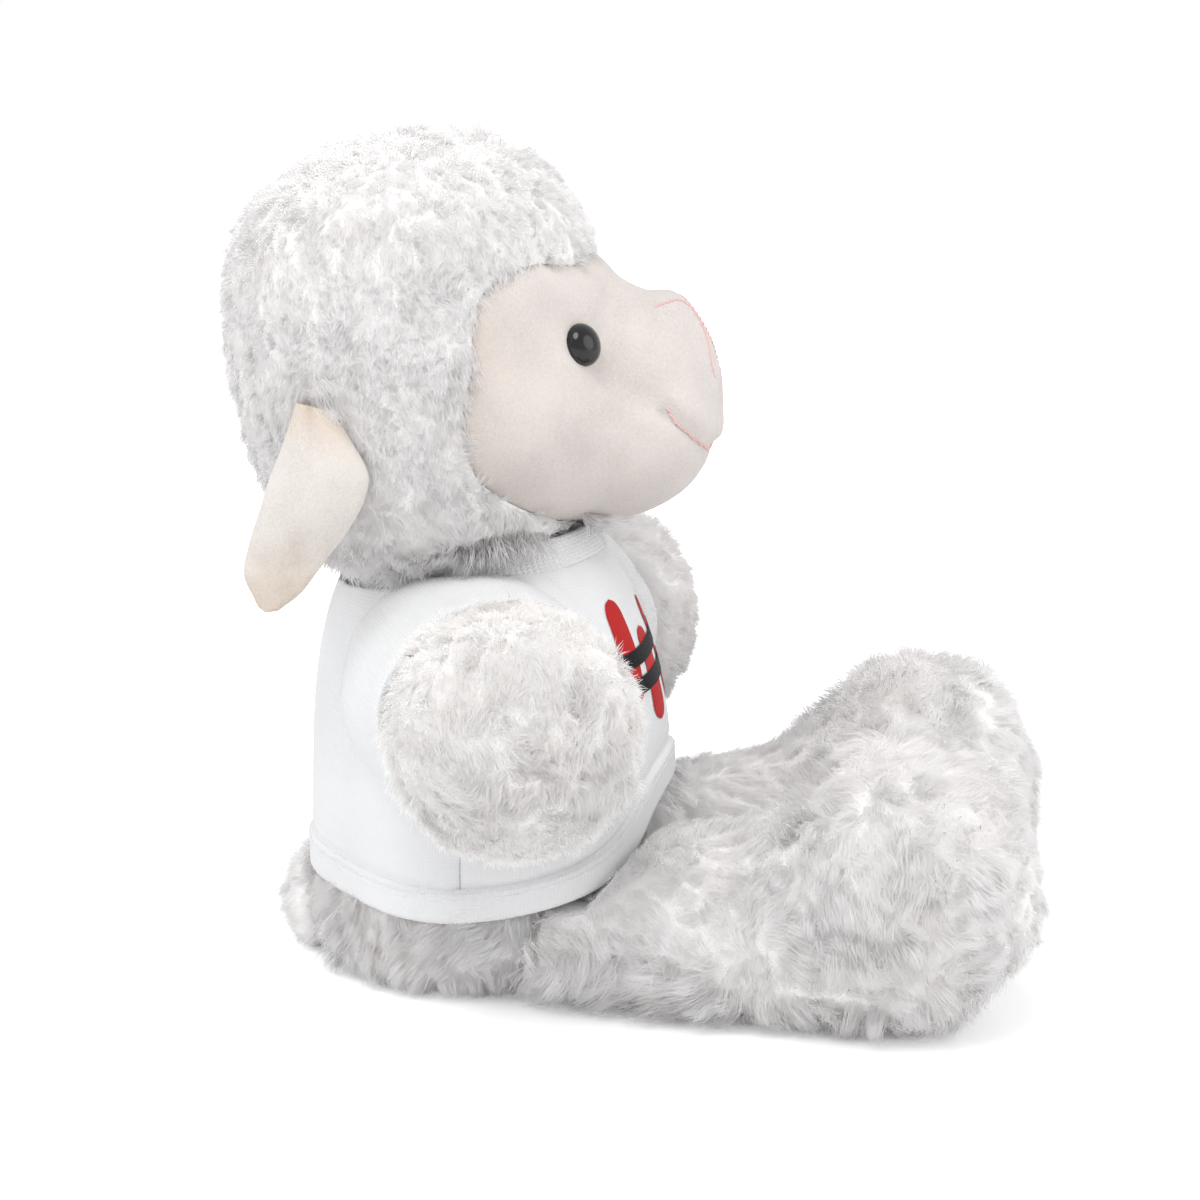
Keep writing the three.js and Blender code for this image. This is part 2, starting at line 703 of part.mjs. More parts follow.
function faceCurve(points) {
  const onFace = ([turn, behind]) => facePoint(radians(turn), behind, THREAD_RADIUS * 0.75);
  return new THREE.CatmullRomCurve3(points.map(onFace));
}

const noseSide = (side) =>
  faceCurve([
    [side * NOSE_TURN, NOSE_BACK],
    [side * NOSE_TURN * 0.9, NOSE_BACK * 0.6],
    [side * NOSE_TURN * 0.5, NOSE_BACK * 0.22],
    [0, NOSE_FRONT],
  ]);
const mouthCurve = faceCurve(
  [-1, -0.7, -0.35, 0, 0.35, 0.7, 1].map((share) => {
    const bend = Math.abs(share);
    return [180 - share * (180 - MOUTH_TURN), MOUTH_FRONT + (MOUTH_BACK - MOUTH_FRONT) * Math.pow(bend, 2.5)];
  }),
);
const stitchRest = faceForm(CLEARANCE);
const nose = mainBody(
  thread(noseSide(SIDES.right), 6).add(thread(noseSide(SIDES.left), 6)).subtract(stitchRest),
);
const mouth = mainBody(thread(mouthCurve, 14).subtract(stitchRest));

// Ears

const EAR_SHARE = EAR_RISE / HEAD_HEIGHT;

function earRoot(side) {
  const deep = (headLength(EAR_SHARE) * HEAD_LENGTH) / 2;
  const angle = Math.PI / 2 + Math.asin((EAR_SETBACK + headShift(EAR_SHARE) * HEAD_LENGTH) / deep);
  return headPoint(side * angle, EAR_SHARE, 0);
}

function earJointOf(side) {
  return { pivot: earRoot(side), axis: AXIS_Y.clone().multiplyScalar(-side), range: EAR_LIFT };
}

// Rows of share of the length, then the share of half the width, and the shift forwards as a share of the
// length.
const EAR_ROWS = [
  [0, 0.42, 0],
  [0.1, 0.63, 0.043],
  [0.24, 0.93, 0.099],
  [0.38, 1.0, 0.095],
  [0.55, 0.92, 0.065],
  [0.7, 0.8, 0.026],
  [0.84, 0.66, 0],
  [0.95, 0.42, 0],
];
const earHalf = column(EAR_ROWS, 1);
const earShift = column(EAR_ROWS, 2);

// One of the ear's two panels, from its seam side to its show side, by their distances from the seam plane.
function earPanel(side, seam, show) {
  const root = earRoot(side);
  const lean = radians(EAR_LEAN);
  const splay = radians(EAR_SPLAY);
  const down = at(side * Math.sin(splay), -Math.sin(lean), -Math.cos(lean)).normalize();
  const across = at(0, Math.cos(lean), -Math.sin(lean));
  const out = new THREE.Vector3().crossVectors(down, across).normalize();
  if (out.x * side < 0) out.negate();
  const start = root.clone().addScaledVector(out, EAR_PANEL + 2 * CLEARANCE);
  const place = (share, width, depth) => {
    const half = (earHalf(share) * EAR_WIDTH) / 2;
    const edge = width * width;
    const cup = EAR_CUP * Math.sin(Math.PI * Math.min(share * 1.3, 1)) * (1 - edge);
    return start
      .clone()
      .addScaledVector(down, (share - 0.08) * EAR_LENGTH)
      .addScaledVector(across, width * half + earShift(share) * EAR_LENGTH)
      .addScaledVector(out, seam + (show - seam) * depth * (1 - 0.35 * edge) + cup);
  };
  const widths = [-1, -0.5, 0, 0.5, 1];
  const rings = EAR_ROWS.map(([share]) => [
    ...widths.map((width) => place(share, width, 1)),
    ...widths.toReversed().map((width) => place(share, width, 0)),
  ]);
  return loft(place(-0.02, 0, 0.5), rings, place(1, 0, 0.5));
}

// Fillings and the pellet bag

const BAG_BASE = at(0, -TORSO_SETBACK - NECK_BACK, SKIN + CLEARANCE);

function bagForm(grow) {
  const rows = [
    [0, -grow],
    [BAG_RADIUS * 0.8 + grow, -grow],
    [BAG_RADIUS + grow, BAG_HEIGHT * 0.35],
    [BAG_RADIUS * 0.92 + grow, BAG_HEIGHT * 0.7],
    [BAG_RADIUS * 0.55 + grow, BAG_HEIGHT + grow],
    [0, BAG_HEIGHT + grow],
  ];
  return lathed(rows, BAG_BASE, UP, 16);
}

// The bag lies on the seat, so the filling is open below it.
const inBag = BAG_BASE.clone().addScaledVector(UP, PAST);
const underBag = rod(BAG_BASE.clone().setZ(0), inBag, BAG_RADIUS * 0.8, 16);
const bagMouth = rod(
  BAG_BASE.clone().addScaledVector(UP, BAG_HEIGHT - PAST),
  BAG_BASE.clone().addScaledVector(UP, BAG_HEIGHT + PAST),
  BAG_MOUTH,
  12,
);
const neckHole = rod(
  NECK_BASE.clone().addScaledVector(NECK_AXIS, -NECK_RADIUS / 2),
  NECK_BASE.clone().addScaledVector(NECK_AXIS, NECK_RISE + PAST),
  NECK_RADIUS * 0.72,
  TORSO_SIDES,
);

const torsoInside = torsoForm(-SKIN, INNER_SIDES).subtract(slab(-FAR, SKIN));
const torsoSkin = torso.subtract(torsoInside).subtract(neckHole);
const torsoFilling = mainBody(
  torsoForm(-SKIN - FILL_GAP, INNER_SIDES)
    .subtract(slab(-FAR, SKIN + CLEARANCE))
    .subtract(bagForm(CLEARANCE))
    .subtract(underBag),
);
const bagSkin = bagForm(0).subtract(bagForm(-BAG_CLOTH)).subtract(bagMouth);
const pellets = bagForm(-BAG_CLOTH - CLEARANCE);

// The limbs, cut by what they turn against

// A coarse form with room for the corners of the fine one, for the cuts that the joints turn through.
const torsoSpace = torsoForm(CLEARANCE + COARSE, 16);
const shirtOutside = EASE + CLOTH * HEM_LAYERS + 2 * CLEARANCE + COARSE;
const shirtSpace = shirtForm(shirtOutside, outsideShirt, 4, 20, () => FOLD_DEPTH);
const clothed = torsoSpace.add(shirtSpace).add(bandForm(CLEARANCE + COARSE));

function limbs(side) {
  const shoulder = shoulderOf(side);
  const hip = hipOf(side);
  const torsoAtArm = swept(torsoSpace, shoulder, -1);
  const clothedAtLeg = swept(torsoSpace.add(shirtSpace), hip, -1);
  const clothedAtArm = swept(clothed, shoulder, -1);

  const armWhole = armForm(side, 0).subtract(torsoAtArm);
  const armInside = armForm(side, -SKIN, INNER_SIDES);
  const armSkin = mainBody(armWhole.subtract(armInside));
  const armFilling = mainBody(armForm(side, -SKIN - FILL_GAP, INNER_SIDES).subtract(torsoAtArm));

  const legWhole = legForm(side, 0).subtract(clothedAtLeg).subtract(BELOW_FLOOR);
  const legInside = legForm(side, -SKIN, INNER_SIDES).subtract(slab(-FAR, SKIN));
  const legSkin = mainBody(legWhole.subtract(legInside));
  const legFilling = mainBody(
    legForm(side, -SKIN - FILL_GAP, INNER_SIDES)
      .subtract(clothedAtLeg)
      .subtract(slab(-FAR, SKIN + CLEARANCE)),
  );

  const sleeve = mainBody(
    sleeveForm(side, EASE + CLOTH, SLEEVE_LENGTH)
      .subtract(sleeveForm(side, EASE, SLEEVE_LENGTH + 1))
      .subtract(clothedAtArm)
      .subtract(armForm(side, CLEARANCE)),
  );
  const armhole = swept(armForm(side, EASE + CLEARANCE), shoulder, 1);
  return { armSkin, armFilling, legSkin, legFilling, sleeve, armhole };
}

// The space inside a sleeve's surface, from the armhole out to a distance along the arm.
function sleeveForm(side, grow, reach) {
  const steps = 3;
  const opening = armRadius(SLEEVE_LENGTH / ARM_LENGTH) * HAND_RADIUS;
  const rings = Array.from({ length: steps + 1 }, (_, i) => {
    const distance = (reach * i) / steps;
    const radius = THREE.MathUtils.lerp(ARMHOLE_RADIUS, opening, distance / SLEEVE_LENGTH) + grow;
    return armRing(side, distance, radius, 18);
  });
  return loft(armPlace(side, 0), rings, armPlace(side, reach));
}

const right = limbs(SIDES.right);
const left = limbs(SIDES.left);

// Shirt panels, parted at the side seams

const inFront = (shift) => {
  const geometry = new THREE.BoxGeometry(FAR, FAR, FAR);
  geometry.translate(0, TORSO_SETBACK + shift - FAR / 2, 0);
  return solidOf(geometry);
};
const shirtOpen = shirtTube
  .subtract(right.armhole)
  .subtract(left.armhole)
  .subtract(bandForm(CLEARANCE));
const shirtFront = mainBody(shirtOpen.intersect(inFront(-CLEARANCE / 2)));
const shirtBack = mainBody(shirtOpen.subtract(inFront(CLEARANCE / 2)));

// Tail

const TAIL_ROWS = [
  [0, 0.6],
  [0.2, 0.88],
  [0.45, 1],
  [0.7, 0.86],
  [0.88, 0.52],
];

const TAIL_ROOT = torsoPoint(Math.PI, TAIL_RADIUS, -TAIL_SINK);
const tailWag = { pivot: TAIL_ROOT, axis: UP, range: TAIL_WAG };

function tailForm() {
  const rings = TAIL_ROWS.map(([share, size]) =>
    around(16, (angle) => {
      const radius = size * TAIL_RADIUS;
      const up = TAIL_RADIUS + radius * Math.cos(angle);
      return new THREE.Vector3(radius * Math.sin(angle), TAIL_ROOT.y + share * TAIL_LENGTH, up);
    }),
  );
  const first = new THREE.Vector3(0, TAIL_ROOT.y - TAIL_SINK, TAIL_RADIUS);
  const last = new THREE.Vector3(0, TAIL_ROOT.y + TAIL_LENGTH, TAIL_RADIUS);
  return loft(first, rings, last);
}

// Room for the wagging root: the torso's back, and further out above the hem's lower edge.
function roomBehind(reach, low) {
  const geometry = new THREE.BoxGeometry(FAR, FAR, FAR);
  geometry.translate(0, TAIL_ROOT.y + reach - FAR / 2, low + FAR / 2);
  return swept(solidOf(geometry), tailWag, -1);
}

const tail = mainBody(
  tailForm()
    .subtract(roomBehind(TAIL_SINK + 2 * CLEARANCE, -TAIL_RADIUS))
    .subtract(roomBehind(TAIL_SINK + HEM_REACH, HEM_LOW - 2 * CLEARANCE)),
);

// Materials

const finish = (color, roughness) => new THREE.MeshStandardMaterial({ color, roughness, metalness: 0 });
const FUR = finish(0xe9e8e8, 0.95);
const FACE = finish(0xeee4dc, 0.9);
const JERSEY = finish(0xf5f5f5, 0.9);
const BLACK_GLOSS = finish(0x101010, 0.15);
const WASHER_PLASTIC = finish(0xe0e0d8, 0.6);
const PINK_THREAD = finish(0xeaa5a5, 0.7);
const FIBRE = finish(0xf8f8f4, 1);
const BAG_FABRIC = finish(0xdcdcd4, 0.9);
const PELLET_PLASTIC = finish(0xd0d4d6, 0.5);

// The assembly

const lamb = new THREE.Group();

function piece(name, solid, material) {
  const { vertProperties, triVerts } = solid.getMesh();
  const geometry = new THREE.BufferGeometry();
  geometry.setAttribute("position", new THREE.BufferAttribute(vertProperties, 3));
  geometry.setIndex(new THREE.BufferAttribute(triVerts, 1));
  geometry.computeVertexNormals();
  const mesh = new THREE.Mesh(geometry, material);
  mesh.name = name;
  lamb.add(mesh);
}

piece("torso_skin", torsoSkin, FUR);
piece("torso_filling", torsoFilling, FIBRE);
piece("pellet_bag", bagSkin, BAG_FABRIC);
piece("pellets", pellets, PELLET_PLASTIC);
piece("tail", tail, FUR);
piece("shirt_front", shirtFront, JERSEY);
piece("shirt_back", shirtBack, JERSEY);
piece("shirt_neckband", neckband, JERSEY);
piece("shirt_hem", hemBand, JERSEY);
piece("head_hood", hood, FUR);
piece("face_panel", facePanel, FACE);
piece("head_filling", headFilling, FIBRE);
piece("nose_stitch", nose, PINK_THREAD);
piece("mouth_stitch", mouth, PINK_THREAD);

for (const [name, side] of Object.entries(SIDES)) {
  const own = side === SIDES.right ? right : left;
  const headSpace = swept(headForm(CLEARANCE), earJointOf(side), -1);
  const washer = washerForm(side, 0).subtract(shankHole(side));
  const half = CLEARANCE / 2;
  piece(`arm_skin_${name}`, own.armSkin, FUR);
  piece(`arm_filling_${name}`, own.armFilling, FIBRE);
  piece(`shirt_sleeve_${name}`, own.sleeve, JERSEY);
  piece(`leg_skin_${name}`, own.legSkin, FUR);
  piece(`leg_filling_${name}`, own.legFilling, FIBRE);
  piece(`eye_${name}`, eyeOf(side), BLACK_GLOSS);
  piece(`eye_washer_${name}`, washer, WASHER_PLASTIC);
  piece(`ear_front_${name}`, mainBody(earPanel(side, half, half + EAR_PANEL).subtract(headSpace)), FACE);
  piece(`ear_back_${name}`, mainBody(earPanel(side, -half, -half - EAR_PANEL).subtract(headSpace)), FACE);
}

export default lamb;
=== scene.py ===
"""The looks of a sitting plush lamb in a knitted T-shirt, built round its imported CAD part."""

import json
import math

import bpy
import numpy as np
from mathutils import Matrix, Vector, kdtree, noise


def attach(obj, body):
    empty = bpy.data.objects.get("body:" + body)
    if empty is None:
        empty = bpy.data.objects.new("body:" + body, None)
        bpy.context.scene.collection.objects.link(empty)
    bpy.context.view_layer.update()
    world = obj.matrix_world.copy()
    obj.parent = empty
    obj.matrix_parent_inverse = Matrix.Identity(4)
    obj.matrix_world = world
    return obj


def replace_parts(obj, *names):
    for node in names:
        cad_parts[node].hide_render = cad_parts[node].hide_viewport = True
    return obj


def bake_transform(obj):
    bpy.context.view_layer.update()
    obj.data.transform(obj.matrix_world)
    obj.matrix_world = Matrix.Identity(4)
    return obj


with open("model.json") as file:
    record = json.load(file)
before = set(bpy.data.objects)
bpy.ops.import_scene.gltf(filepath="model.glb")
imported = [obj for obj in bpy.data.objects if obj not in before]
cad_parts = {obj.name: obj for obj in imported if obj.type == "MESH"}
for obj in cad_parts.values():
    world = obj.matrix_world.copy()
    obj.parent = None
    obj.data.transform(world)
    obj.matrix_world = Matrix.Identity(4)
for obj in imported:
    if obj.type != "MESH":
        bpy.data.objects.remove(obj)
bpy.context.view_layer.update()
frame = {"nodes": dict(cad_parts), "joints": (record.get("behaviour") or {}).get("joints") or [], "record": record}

MM = 0.001
SIDES = {"right": -1, "left": 1}

# Sizes of the part, in millimetres
CLEARANCE, SKIN, CLOTH, EASE, COARSE = 0.3, 2.2, 1.4, 0.7, 1.0
TORSO_HEIGHT, TORSO_DEPTH, TORSO_WIDTH, TORSO_SETBACK = 101, 80, 84, 34
NECK_RADIUS, NECK_TILT, NECK_RISE, SHOULDER_DROP = 25, math.radians(9), 4, 4
NECK_BASE = np.array([0, 36.0, 98.0])
HEAD_HEIGHT, HEAD_LENGTH, HEAD_WIDTH, HEAD_BASE, HEAD_MIDDLE = 99, 86, 93, 96, -51
FACE_HEIGHT, FACE_WIDTH, FACE_LENGTH, FACE_CORNER = 61, 82, 68, 0.24
MUZZLE_TIP, MUZZLE_RISE = 20.3, 136
EYE_RADIUS, EYE_DOME, EYE_BACK, EYE_TURN, EYE_AHEAD, EYE_UP = 4.9, 3.5, 29, math.radians(61), 0.4, 0.2
EAR_LENGTH, EAR_WIDTH, EAR_PANEL, EAR_CUP = 46.5, 21.5, 2, 3.5
EAR_LEAN, EAR_SPLAY = math.radians(13), math.radians(9)
ARM_LENGTH, HAND_RADIUS, ARM_ROOT, ARM_UP, ARM_FORWARD = 62, 26.3, 26, 70, math.radians(24)
LEG_LENGTH, LEG_RADIUS, FOOT_HEIGHT, FOOT_WIDTH = 110, 22.5, 66, 51
HIP_SIDE, HIP_SETBACK, LEG_SPREAD, TOE_LIFT, TOE_SHARE = 27, 14, math.radians(8.5), 20, 0.79
TAIL_BACK, TAIL_LENGTH, TAIL_RADIUS = 71.6, 13, 12.5
HEM_HEIGHT, HEM_LAYERS, HEM_LOW, HEM_FRONT_RISE, HEM_BACK_RISE, HEM_FLARE = 8, 1.6, 18, 27, 7, 7
BAND_HEIGHT, BAND_FLARE, BAND_LOW = 7, 1.5, -3.4
SLEEVE_LENGTH, ARMHOLE_RADIUS = 25, 27.5

TORSO_ROWS = [
    [0.0, 0.74, 0.76, -0.031],
    [0.05, 0.88, 0.9, -0.025],
    [0.14, 0.97, 0.98, -0.013],
    [0.28, 1.0, 1.0, 0],
    [0.46, 1.0, 1.0, 0],
    [0.62, 0.98, 0.97, -0.005],
    [0.76, 0.92, 0.9, -0.015],
    [0.88, 0.82, 0.79, -0.025],
    [0.96, 0.71, 0.67, -0.025],
    [1.0, 0.6, 0.57, -0.025],
]
HEAD_ROWS = [
    [0.02, 0.7, 0.62, 0.058],
    [0.09, 0.8, 0.76, 0.041],
    [0.2, 0.86, 0.87, 0.014],
    [0.35, 0.93, 0.96, -0.006],
    [0.5, 0.99, 1.0, -0.012],
    [0.64, 1.0, 1.0, -0.009],
    [0.77, 0.945, 0.94, 0],
    [0.87, 0.8, 0.79, 0.007],
    [0.95, 0.56, 0.54, 0.016],
    [0.985, 0.32, 0.3, 0.019],
]
FACE_ROWS = [
    [0.06, 0.78, 0.76, 0, 0],
    [0.22, 1.0, 0.98, 0.016, 0],
    [0.35, 1.02, 0.99, 0.016, 0],
    [0.46, 1.0, 0.9, 0.01, 0.03],
    [0.56, 0.96, 0.75, 0, 0.06],
    [0.65, 0.9, 0.63, -0.026, 0.14],
    [0.745, 0.84, 0.59, -0.031, 0.2],
    [0.83, 0.79, 0.55, -0.008, 0.24],
    [0.9, 0.66, 0.47, -0.01, 0.2],
    [0.955, 0.46, 0.35, -0.016, 0.1],
    [0.988, 0.26, 0.2, -0.023, 0],
]
EAR_ROWS = [
    [0, 0.42, 0],
    [0.1, 0.63, 0.043],
    [0.24, 0.93, 0.099],
    [0.38, 1.0, 0.095],
    [0.55, 0.92, 0.065],
    [0.7, 0.8, 0.026],
    [0.84, 0.66, 0],
    [0.95, 0.42, 0],
]
ARM_ROWS = [[0, 0.72], [0.12, 0.78], [0.26, 0.85], [0.42, 0.94], [0.6, 1.0], [0.76, 0.93], [0.88, 0.74], [0.96, 0.42]]
LEG_ROWS = [
    [0, 0.66, 0.73, 0],
    [0.1, 0.75, 0.83, 0],
    [0.24, 0.87, 0.94, 0],
    [0.42, 0.95, 0.97, 0.02],
    [0.53, 0.98, 1, 0.3],
    [0.63, 1, 1, 0.8],
    [0.74, 1, 1, 1],
    [0.85, 0.9, 0.98, 0.74],
    [0.93, 0.7, 0.82, 0.5],
    [0.98, 0.42, 0.5, 0.25],
]
TAIL_ROWS = [[0, 0.6], [0.2, 0.88], [0.45, 1], [0.7, 0.86], [0.88, 0.52]]


def column(rows, index):
    """A smooth function through the rows, as in the part's source."""
    x = np.array([r[0] for r in rows], float)
    y = np.array([r[index] for r in rows], float)
    n = len(x) - 1
    k = np.arange(n + 1)
    below, above = np.maximum(k - 1, 0), np.minimum(k + 1, n)
    slope = (y[above] - y[below]) / (x[above] - x[below])

    def value(place):
        t = np.clip(place, x[0], x[n])
        i = np.clip(np.searchsorted(x, t, side="left") - 1, 0, n - 1)
        span = x[i + 1] - x[i]
        s = (t - x[i]) / span
        rise = y[i + 1] - y[i]
        a, b = slope[i] * span, slope[i + 1] * span
        return y[i] + s * (a + s * (3 * rise - 2 * a - b + s * (a + b - 2 * rise)))

    return value


def at(left, forward, up):
    return np.stack(np.broadcast_arrays(left, -np.asarray(forward, float), up), -1).astype(float)


def unit(v):
    return v / np.maximum(np.linalg.norm(v, axis=-1, keepdims=True), 1e-12)


def smooth(x, low, high):
    t = np.clip((x - low) / (high - low), 0, 1)
    return t * t * (3 - 2 * t)


def stretched(share, length, grow):
    return share * (length + 2 * grow) - grow


torso_deep, torso_wide, torso_shift = (column(TORSO_ROWS, i) for i in (1, 2, 3))
head_deep, head_wide, head_shift = (column(HEAD_ROWS, i) for i in (1, 2, 3))
face_tall, face_wide, face_rise, face_ridge = (column(FACE_ROWS, i) for i in (1, 2, 3, 4))
ear_half, ear_shift = column(EAR_ROWS, 1), column(EAR_ROWS, 2)
arm_radius = column(ARM_ROWS, 1)
leg_tall, leg_wide, leg_foot = (column(LEG_ROWS, i) for i in (1, 2, 3))
tail_radius = column(TAIL_ROWS, 1)


# Surfaces of the part, as functions of an angle and a place


def torso_point(angle, up, grow):
    share = up / TORSO_HEIGHT
    deep = torso_deep(share) * TORSO_DEPTH / 2 + grow
    wide = torso_wide(share) * TORSO_WIDTH / 2 + grow
    middle = torso_shift(share) * TORSO_DEPTH - TORSO_SETBACK
    return at(np.sin(angle) * wide, middle + np.cos(angle) * deep, up)


def neck_point(angle, radius, height):
    x, y, z = np.sin(angle) * radius, -np.cos(angle) * radius, height + 0 * angle
    c, s = math.cos(-NECK_TILT), math.sin(-NECK_TILT)
    return np.stack([x + 0 * z, y * c - z * s, y * s + z * c], -1) + NECK_BASE


NECK_AXIS = np.array([0, math.sin(NECK_TILT), math.cos(NECK_TILT)])


def head_point(angle, share, grow):
    deep = head_deep(share) * HEAD_LENGTH / 2 + grow
    wide = head_wide(share) * HEAD_WIDTH / 2 + grow
    middle = HEAD_MIDDLE + head_shift(share) * HEAD_LENGTH
    up = HEAD_BASE + stretched(share, HEAD_HEIGHT, grow)
    return at(np.sin(angle) * wide, middle + np.cos(angle) * deep, up)


def face_section(angle, share, grow):
    tall = face_tall(share) * FACE_HEIGHT / 2 + grow
    wide = face_wide(share) * FACE_WIDTH / 2 + grow
    narrow = 1 - face_ridge(share) * np.cos(angle)
    corner = np.where(np.cos(angle) > 0, np.sin(2 * angle) ** 4, 0)
    full = 1 + FACE_CORNER * corner * np.clip((0.62 - share) / 0.2, 0, 1)
    return wide * narrow * full, tall * full


def face_point(angle, share, grow):
    wide, tall = face_section(angle, share, grow)
    up = MUZZLE_RISE + face_rise(share) * FACE_HEIGHT + np.cos(angle) * tall
    ahead = MUZZLE_TIP - FACE_LENGTH + stretched(share, FACE_LENGTH, grow)
    return at(np.sin(angle) * wide, ahead, up)


def on_face(angle, behind, grow=0):
    return face_point(np.asarray(angle, float), 1 - np.asarray(behind, float) / FACE_LENGTH, grow)


def arm_axes(side):
    c, s = math.cos(ARM_FORWARD), math.sin(ARM_FORWARD)
    shoulder = np.array([side * ARM_ROOT, TORSO_SETBACK, ARM_UP], float)
    along = at(side * c, s, 0)
    across = at(-side * s, c, 0)
    return shoulder, along, across


def arm_point(side, angle, distance, radius):
    shoulder, along, across = arm_axes(side)
    distance, radius = (np.asarray(v, float)[..., None] for v in (distance, radius))
    turn = np.asarray(angle, float)[..., None]
    up = np.array([0, 0, 1.0])
    return shoulder + along * distance + across * (radius * np.cos(turn)) + up * (radius * np.sin(turn))


def leg_section(share, grow):
    foot = leg_foot(share)
    tall = leg_tall(share) * LEG_RADIUS + foot * (FOOT_HEIGHT / 2 - LEG_RADIUS)
    wide = leg_wide(share) * LEG_RADIUS + foot * (FOOT_WIDTH / 2 - LEG_RADIUS)
    lift = TOE_LIFT * np.maximum(0, (share - TOE_SHARE) / (1 - TOE_SHARE))
    return tall + grow, wide + grow, tall - 0.5 + lift


def leg_axes(side):
    c, s = math.cos(LEG_SPREAD), math.sin(LEG_SPREAD)
    return np.array([side * HIP_SIDE, HIP_SETBACK, 0.0]), at(side * s, c, 0), at(c, -side * s, 0)


def leg_point(side, angle, share, grow):
    hip, along, across = leg_axes(side)
    tall, wide, middle = leg_section(share, grow)
    place = stretched(share, LEG_LENGTH, grow)
    up = middle + tall * np.cos(angle)
    flat = hip + along * (place + 0 * angle)[..., None] + across * (wide * np.sin(angle))[..., None]
    return flat + np.array([0, 0, 1.0]) * up[..., None]


def tail_point(angle, share, grow):
    radius = tail_radius(share) * TAIL_RADIUS + grow
    back = TAIL_BACK + stretched(share, TAIL_LENGTH, grow)
    return at(np.sin(angle) * radius, -(back + 0 * angle), TAIL_RADIUS - 1.5 + np.cos(angle) * radius)


def neck_edge(angle):
    return neck_point(angle, NECK_RADIUS + 4, BAND_LOW + CLOTH)[..., 2]


def hem_edge(angle):
    front, back = ((1 + np.cos(angle)) / 2) ** 4.2, ((1 - np.cos(angle)) / 2) ** 2.5
    return HEM_LOW + HEM_FRONT_RISE * front + HEM_BACK_RISE * back


def thigh_flare(angle, up):
    turn = np.abs(np.arctan2(np.sin(angle), np.cos(angle)))
    beside = np.exp(-(((turn - math.radians(48)) / math.radians(26)) ** 2))
    return HEM_FLARE * beside * np.clip(1.8 - 2.5 * up / TORSO_HEIGHT, 0, 1) ** 2


def fold_out(angle, up):
    return 0.6 * np.clip(1.6 - 2 * up / TORSO_HEIGHT, 0, 1) * (1 + np.cos(7 * angle))


def shirt_point(angle, up, grow, fold=fold_out):
    return torso_point(angle, up, grow + thigh_flare(angle, up) + fold(angle, up))


# Whether points lie inside those surfaces, each grown by a distance


def in_ring(p, middle, wide, deep):
    return (p[..., 0] / wide) ** 2 + ((-p[..., 1] - middle) / deep) ** 2 < 1


def in_torso(p, grow=0.0):
    share = p[..., 2] / TORSO_HEIGHT
    middle = torso_shift(share) * TORSO_DEPTH - TORSO_SETBACK
    wide = torso_wide(share) * TORSO_WIDTH / 2 + grow
    deep = torso_deep(share) * TORSO_DEPTH / 2 + grow
    return in_ring(p, middle, wide, deep) & (p[..., 2] < TORSO_HEIGHT)


def in_shirt(p, grow=0.0, low=0.0):
    share = p[..., 2] / TORSO_HEIGHT
    middle = torso_shift(share) * TORSO_DEPTH - TORSO_SETBACK
    angle = np.arctan2(p[..., 0], -p[..., 1] - middle)
    out = EASE + CLOTH + grow + thigh_flare(angle, p[..., 2]) + fold_out(angle, p[..., 2])
    wide = torso_wide(share) * TORSO_WIDTH / 2 + out
    deep = torso_deep(share) * TORSO_DEPTH / 2 + out
    high = (p[..., 2] > hem_edge(angle) - low) & (p[..., 2] < neck_edge(angle) + grow)
    return in_ring(p, middle, wide, deep) & high


def in_head(p, grow=0.0):
    share = (p[..., 2] - HEAD_BASE + grow) / (HEAD_HEIGHT + 2 * grow)
    middle = HEAD_MIDDLE + head_shift(share) * HEAD_LENGTH
    wide = head_wide(share) * HEAD_WIDTH / 2 + grow
    deep = head_deep(share) * HEAD_LENGTH / 2 + grow
    return in_ring(p, middle, wide, deep) & (share > 0) & (share < 1)


def in_face(p, grow=0.0):
    """As the others, but the distance may differ from point to point."""
    share = (-p[..., 1] - MUZZLE_TIP + FACE_LENGTH + grow) / (FACE_LENGTH + 2 * grow)
    up = p[..., 2] - MUZZLE_RISE - face_rise(share) * FACE_HEIGHT
    tall = face_tall(share) * FACE_HEIGHT / 2 + grow
    wide = face_wide(share) * FACE_WIDTH / 2 + grow
    wide, tall = face_section(np.arctan2(p[..., 0] / wide, up / tall), share, grow)
    return ((p[..., 0] / wide) ** 2 + (up / tall) ** 2 < 1) & (share > 0) & (share < 1)


def in_leg(p, side, grow=0.0):
    hip, along, across = leg_axes(side)
    d = p - hip
    share = (d @ along + grow) / (LEG_LENGTH + 2 * grow)
    tall, wide, middle = leg_section(share, grow)
    return (((d @ across) / wide) ** 2 + ((p[..., 2] - middle) / tall) ** 2 < 1) & (share > 0) & (share < 1)


def in_neckband(p, grow=0.0):
    d = p - NECK_BASE
    height = d @ NECK_AXIS
    radius = np.linalg.norm(d - height[..., None] * NECK_AXIS, axis=-1)
    outer = NECK_RADIUS + 2.84 + grow + BAND_FLARE * np.clip((3.6 - height) / 7, 0, 1)
    return (radius < outer) & (height < 3.6 + grow) & (height > -14)


# Meshes


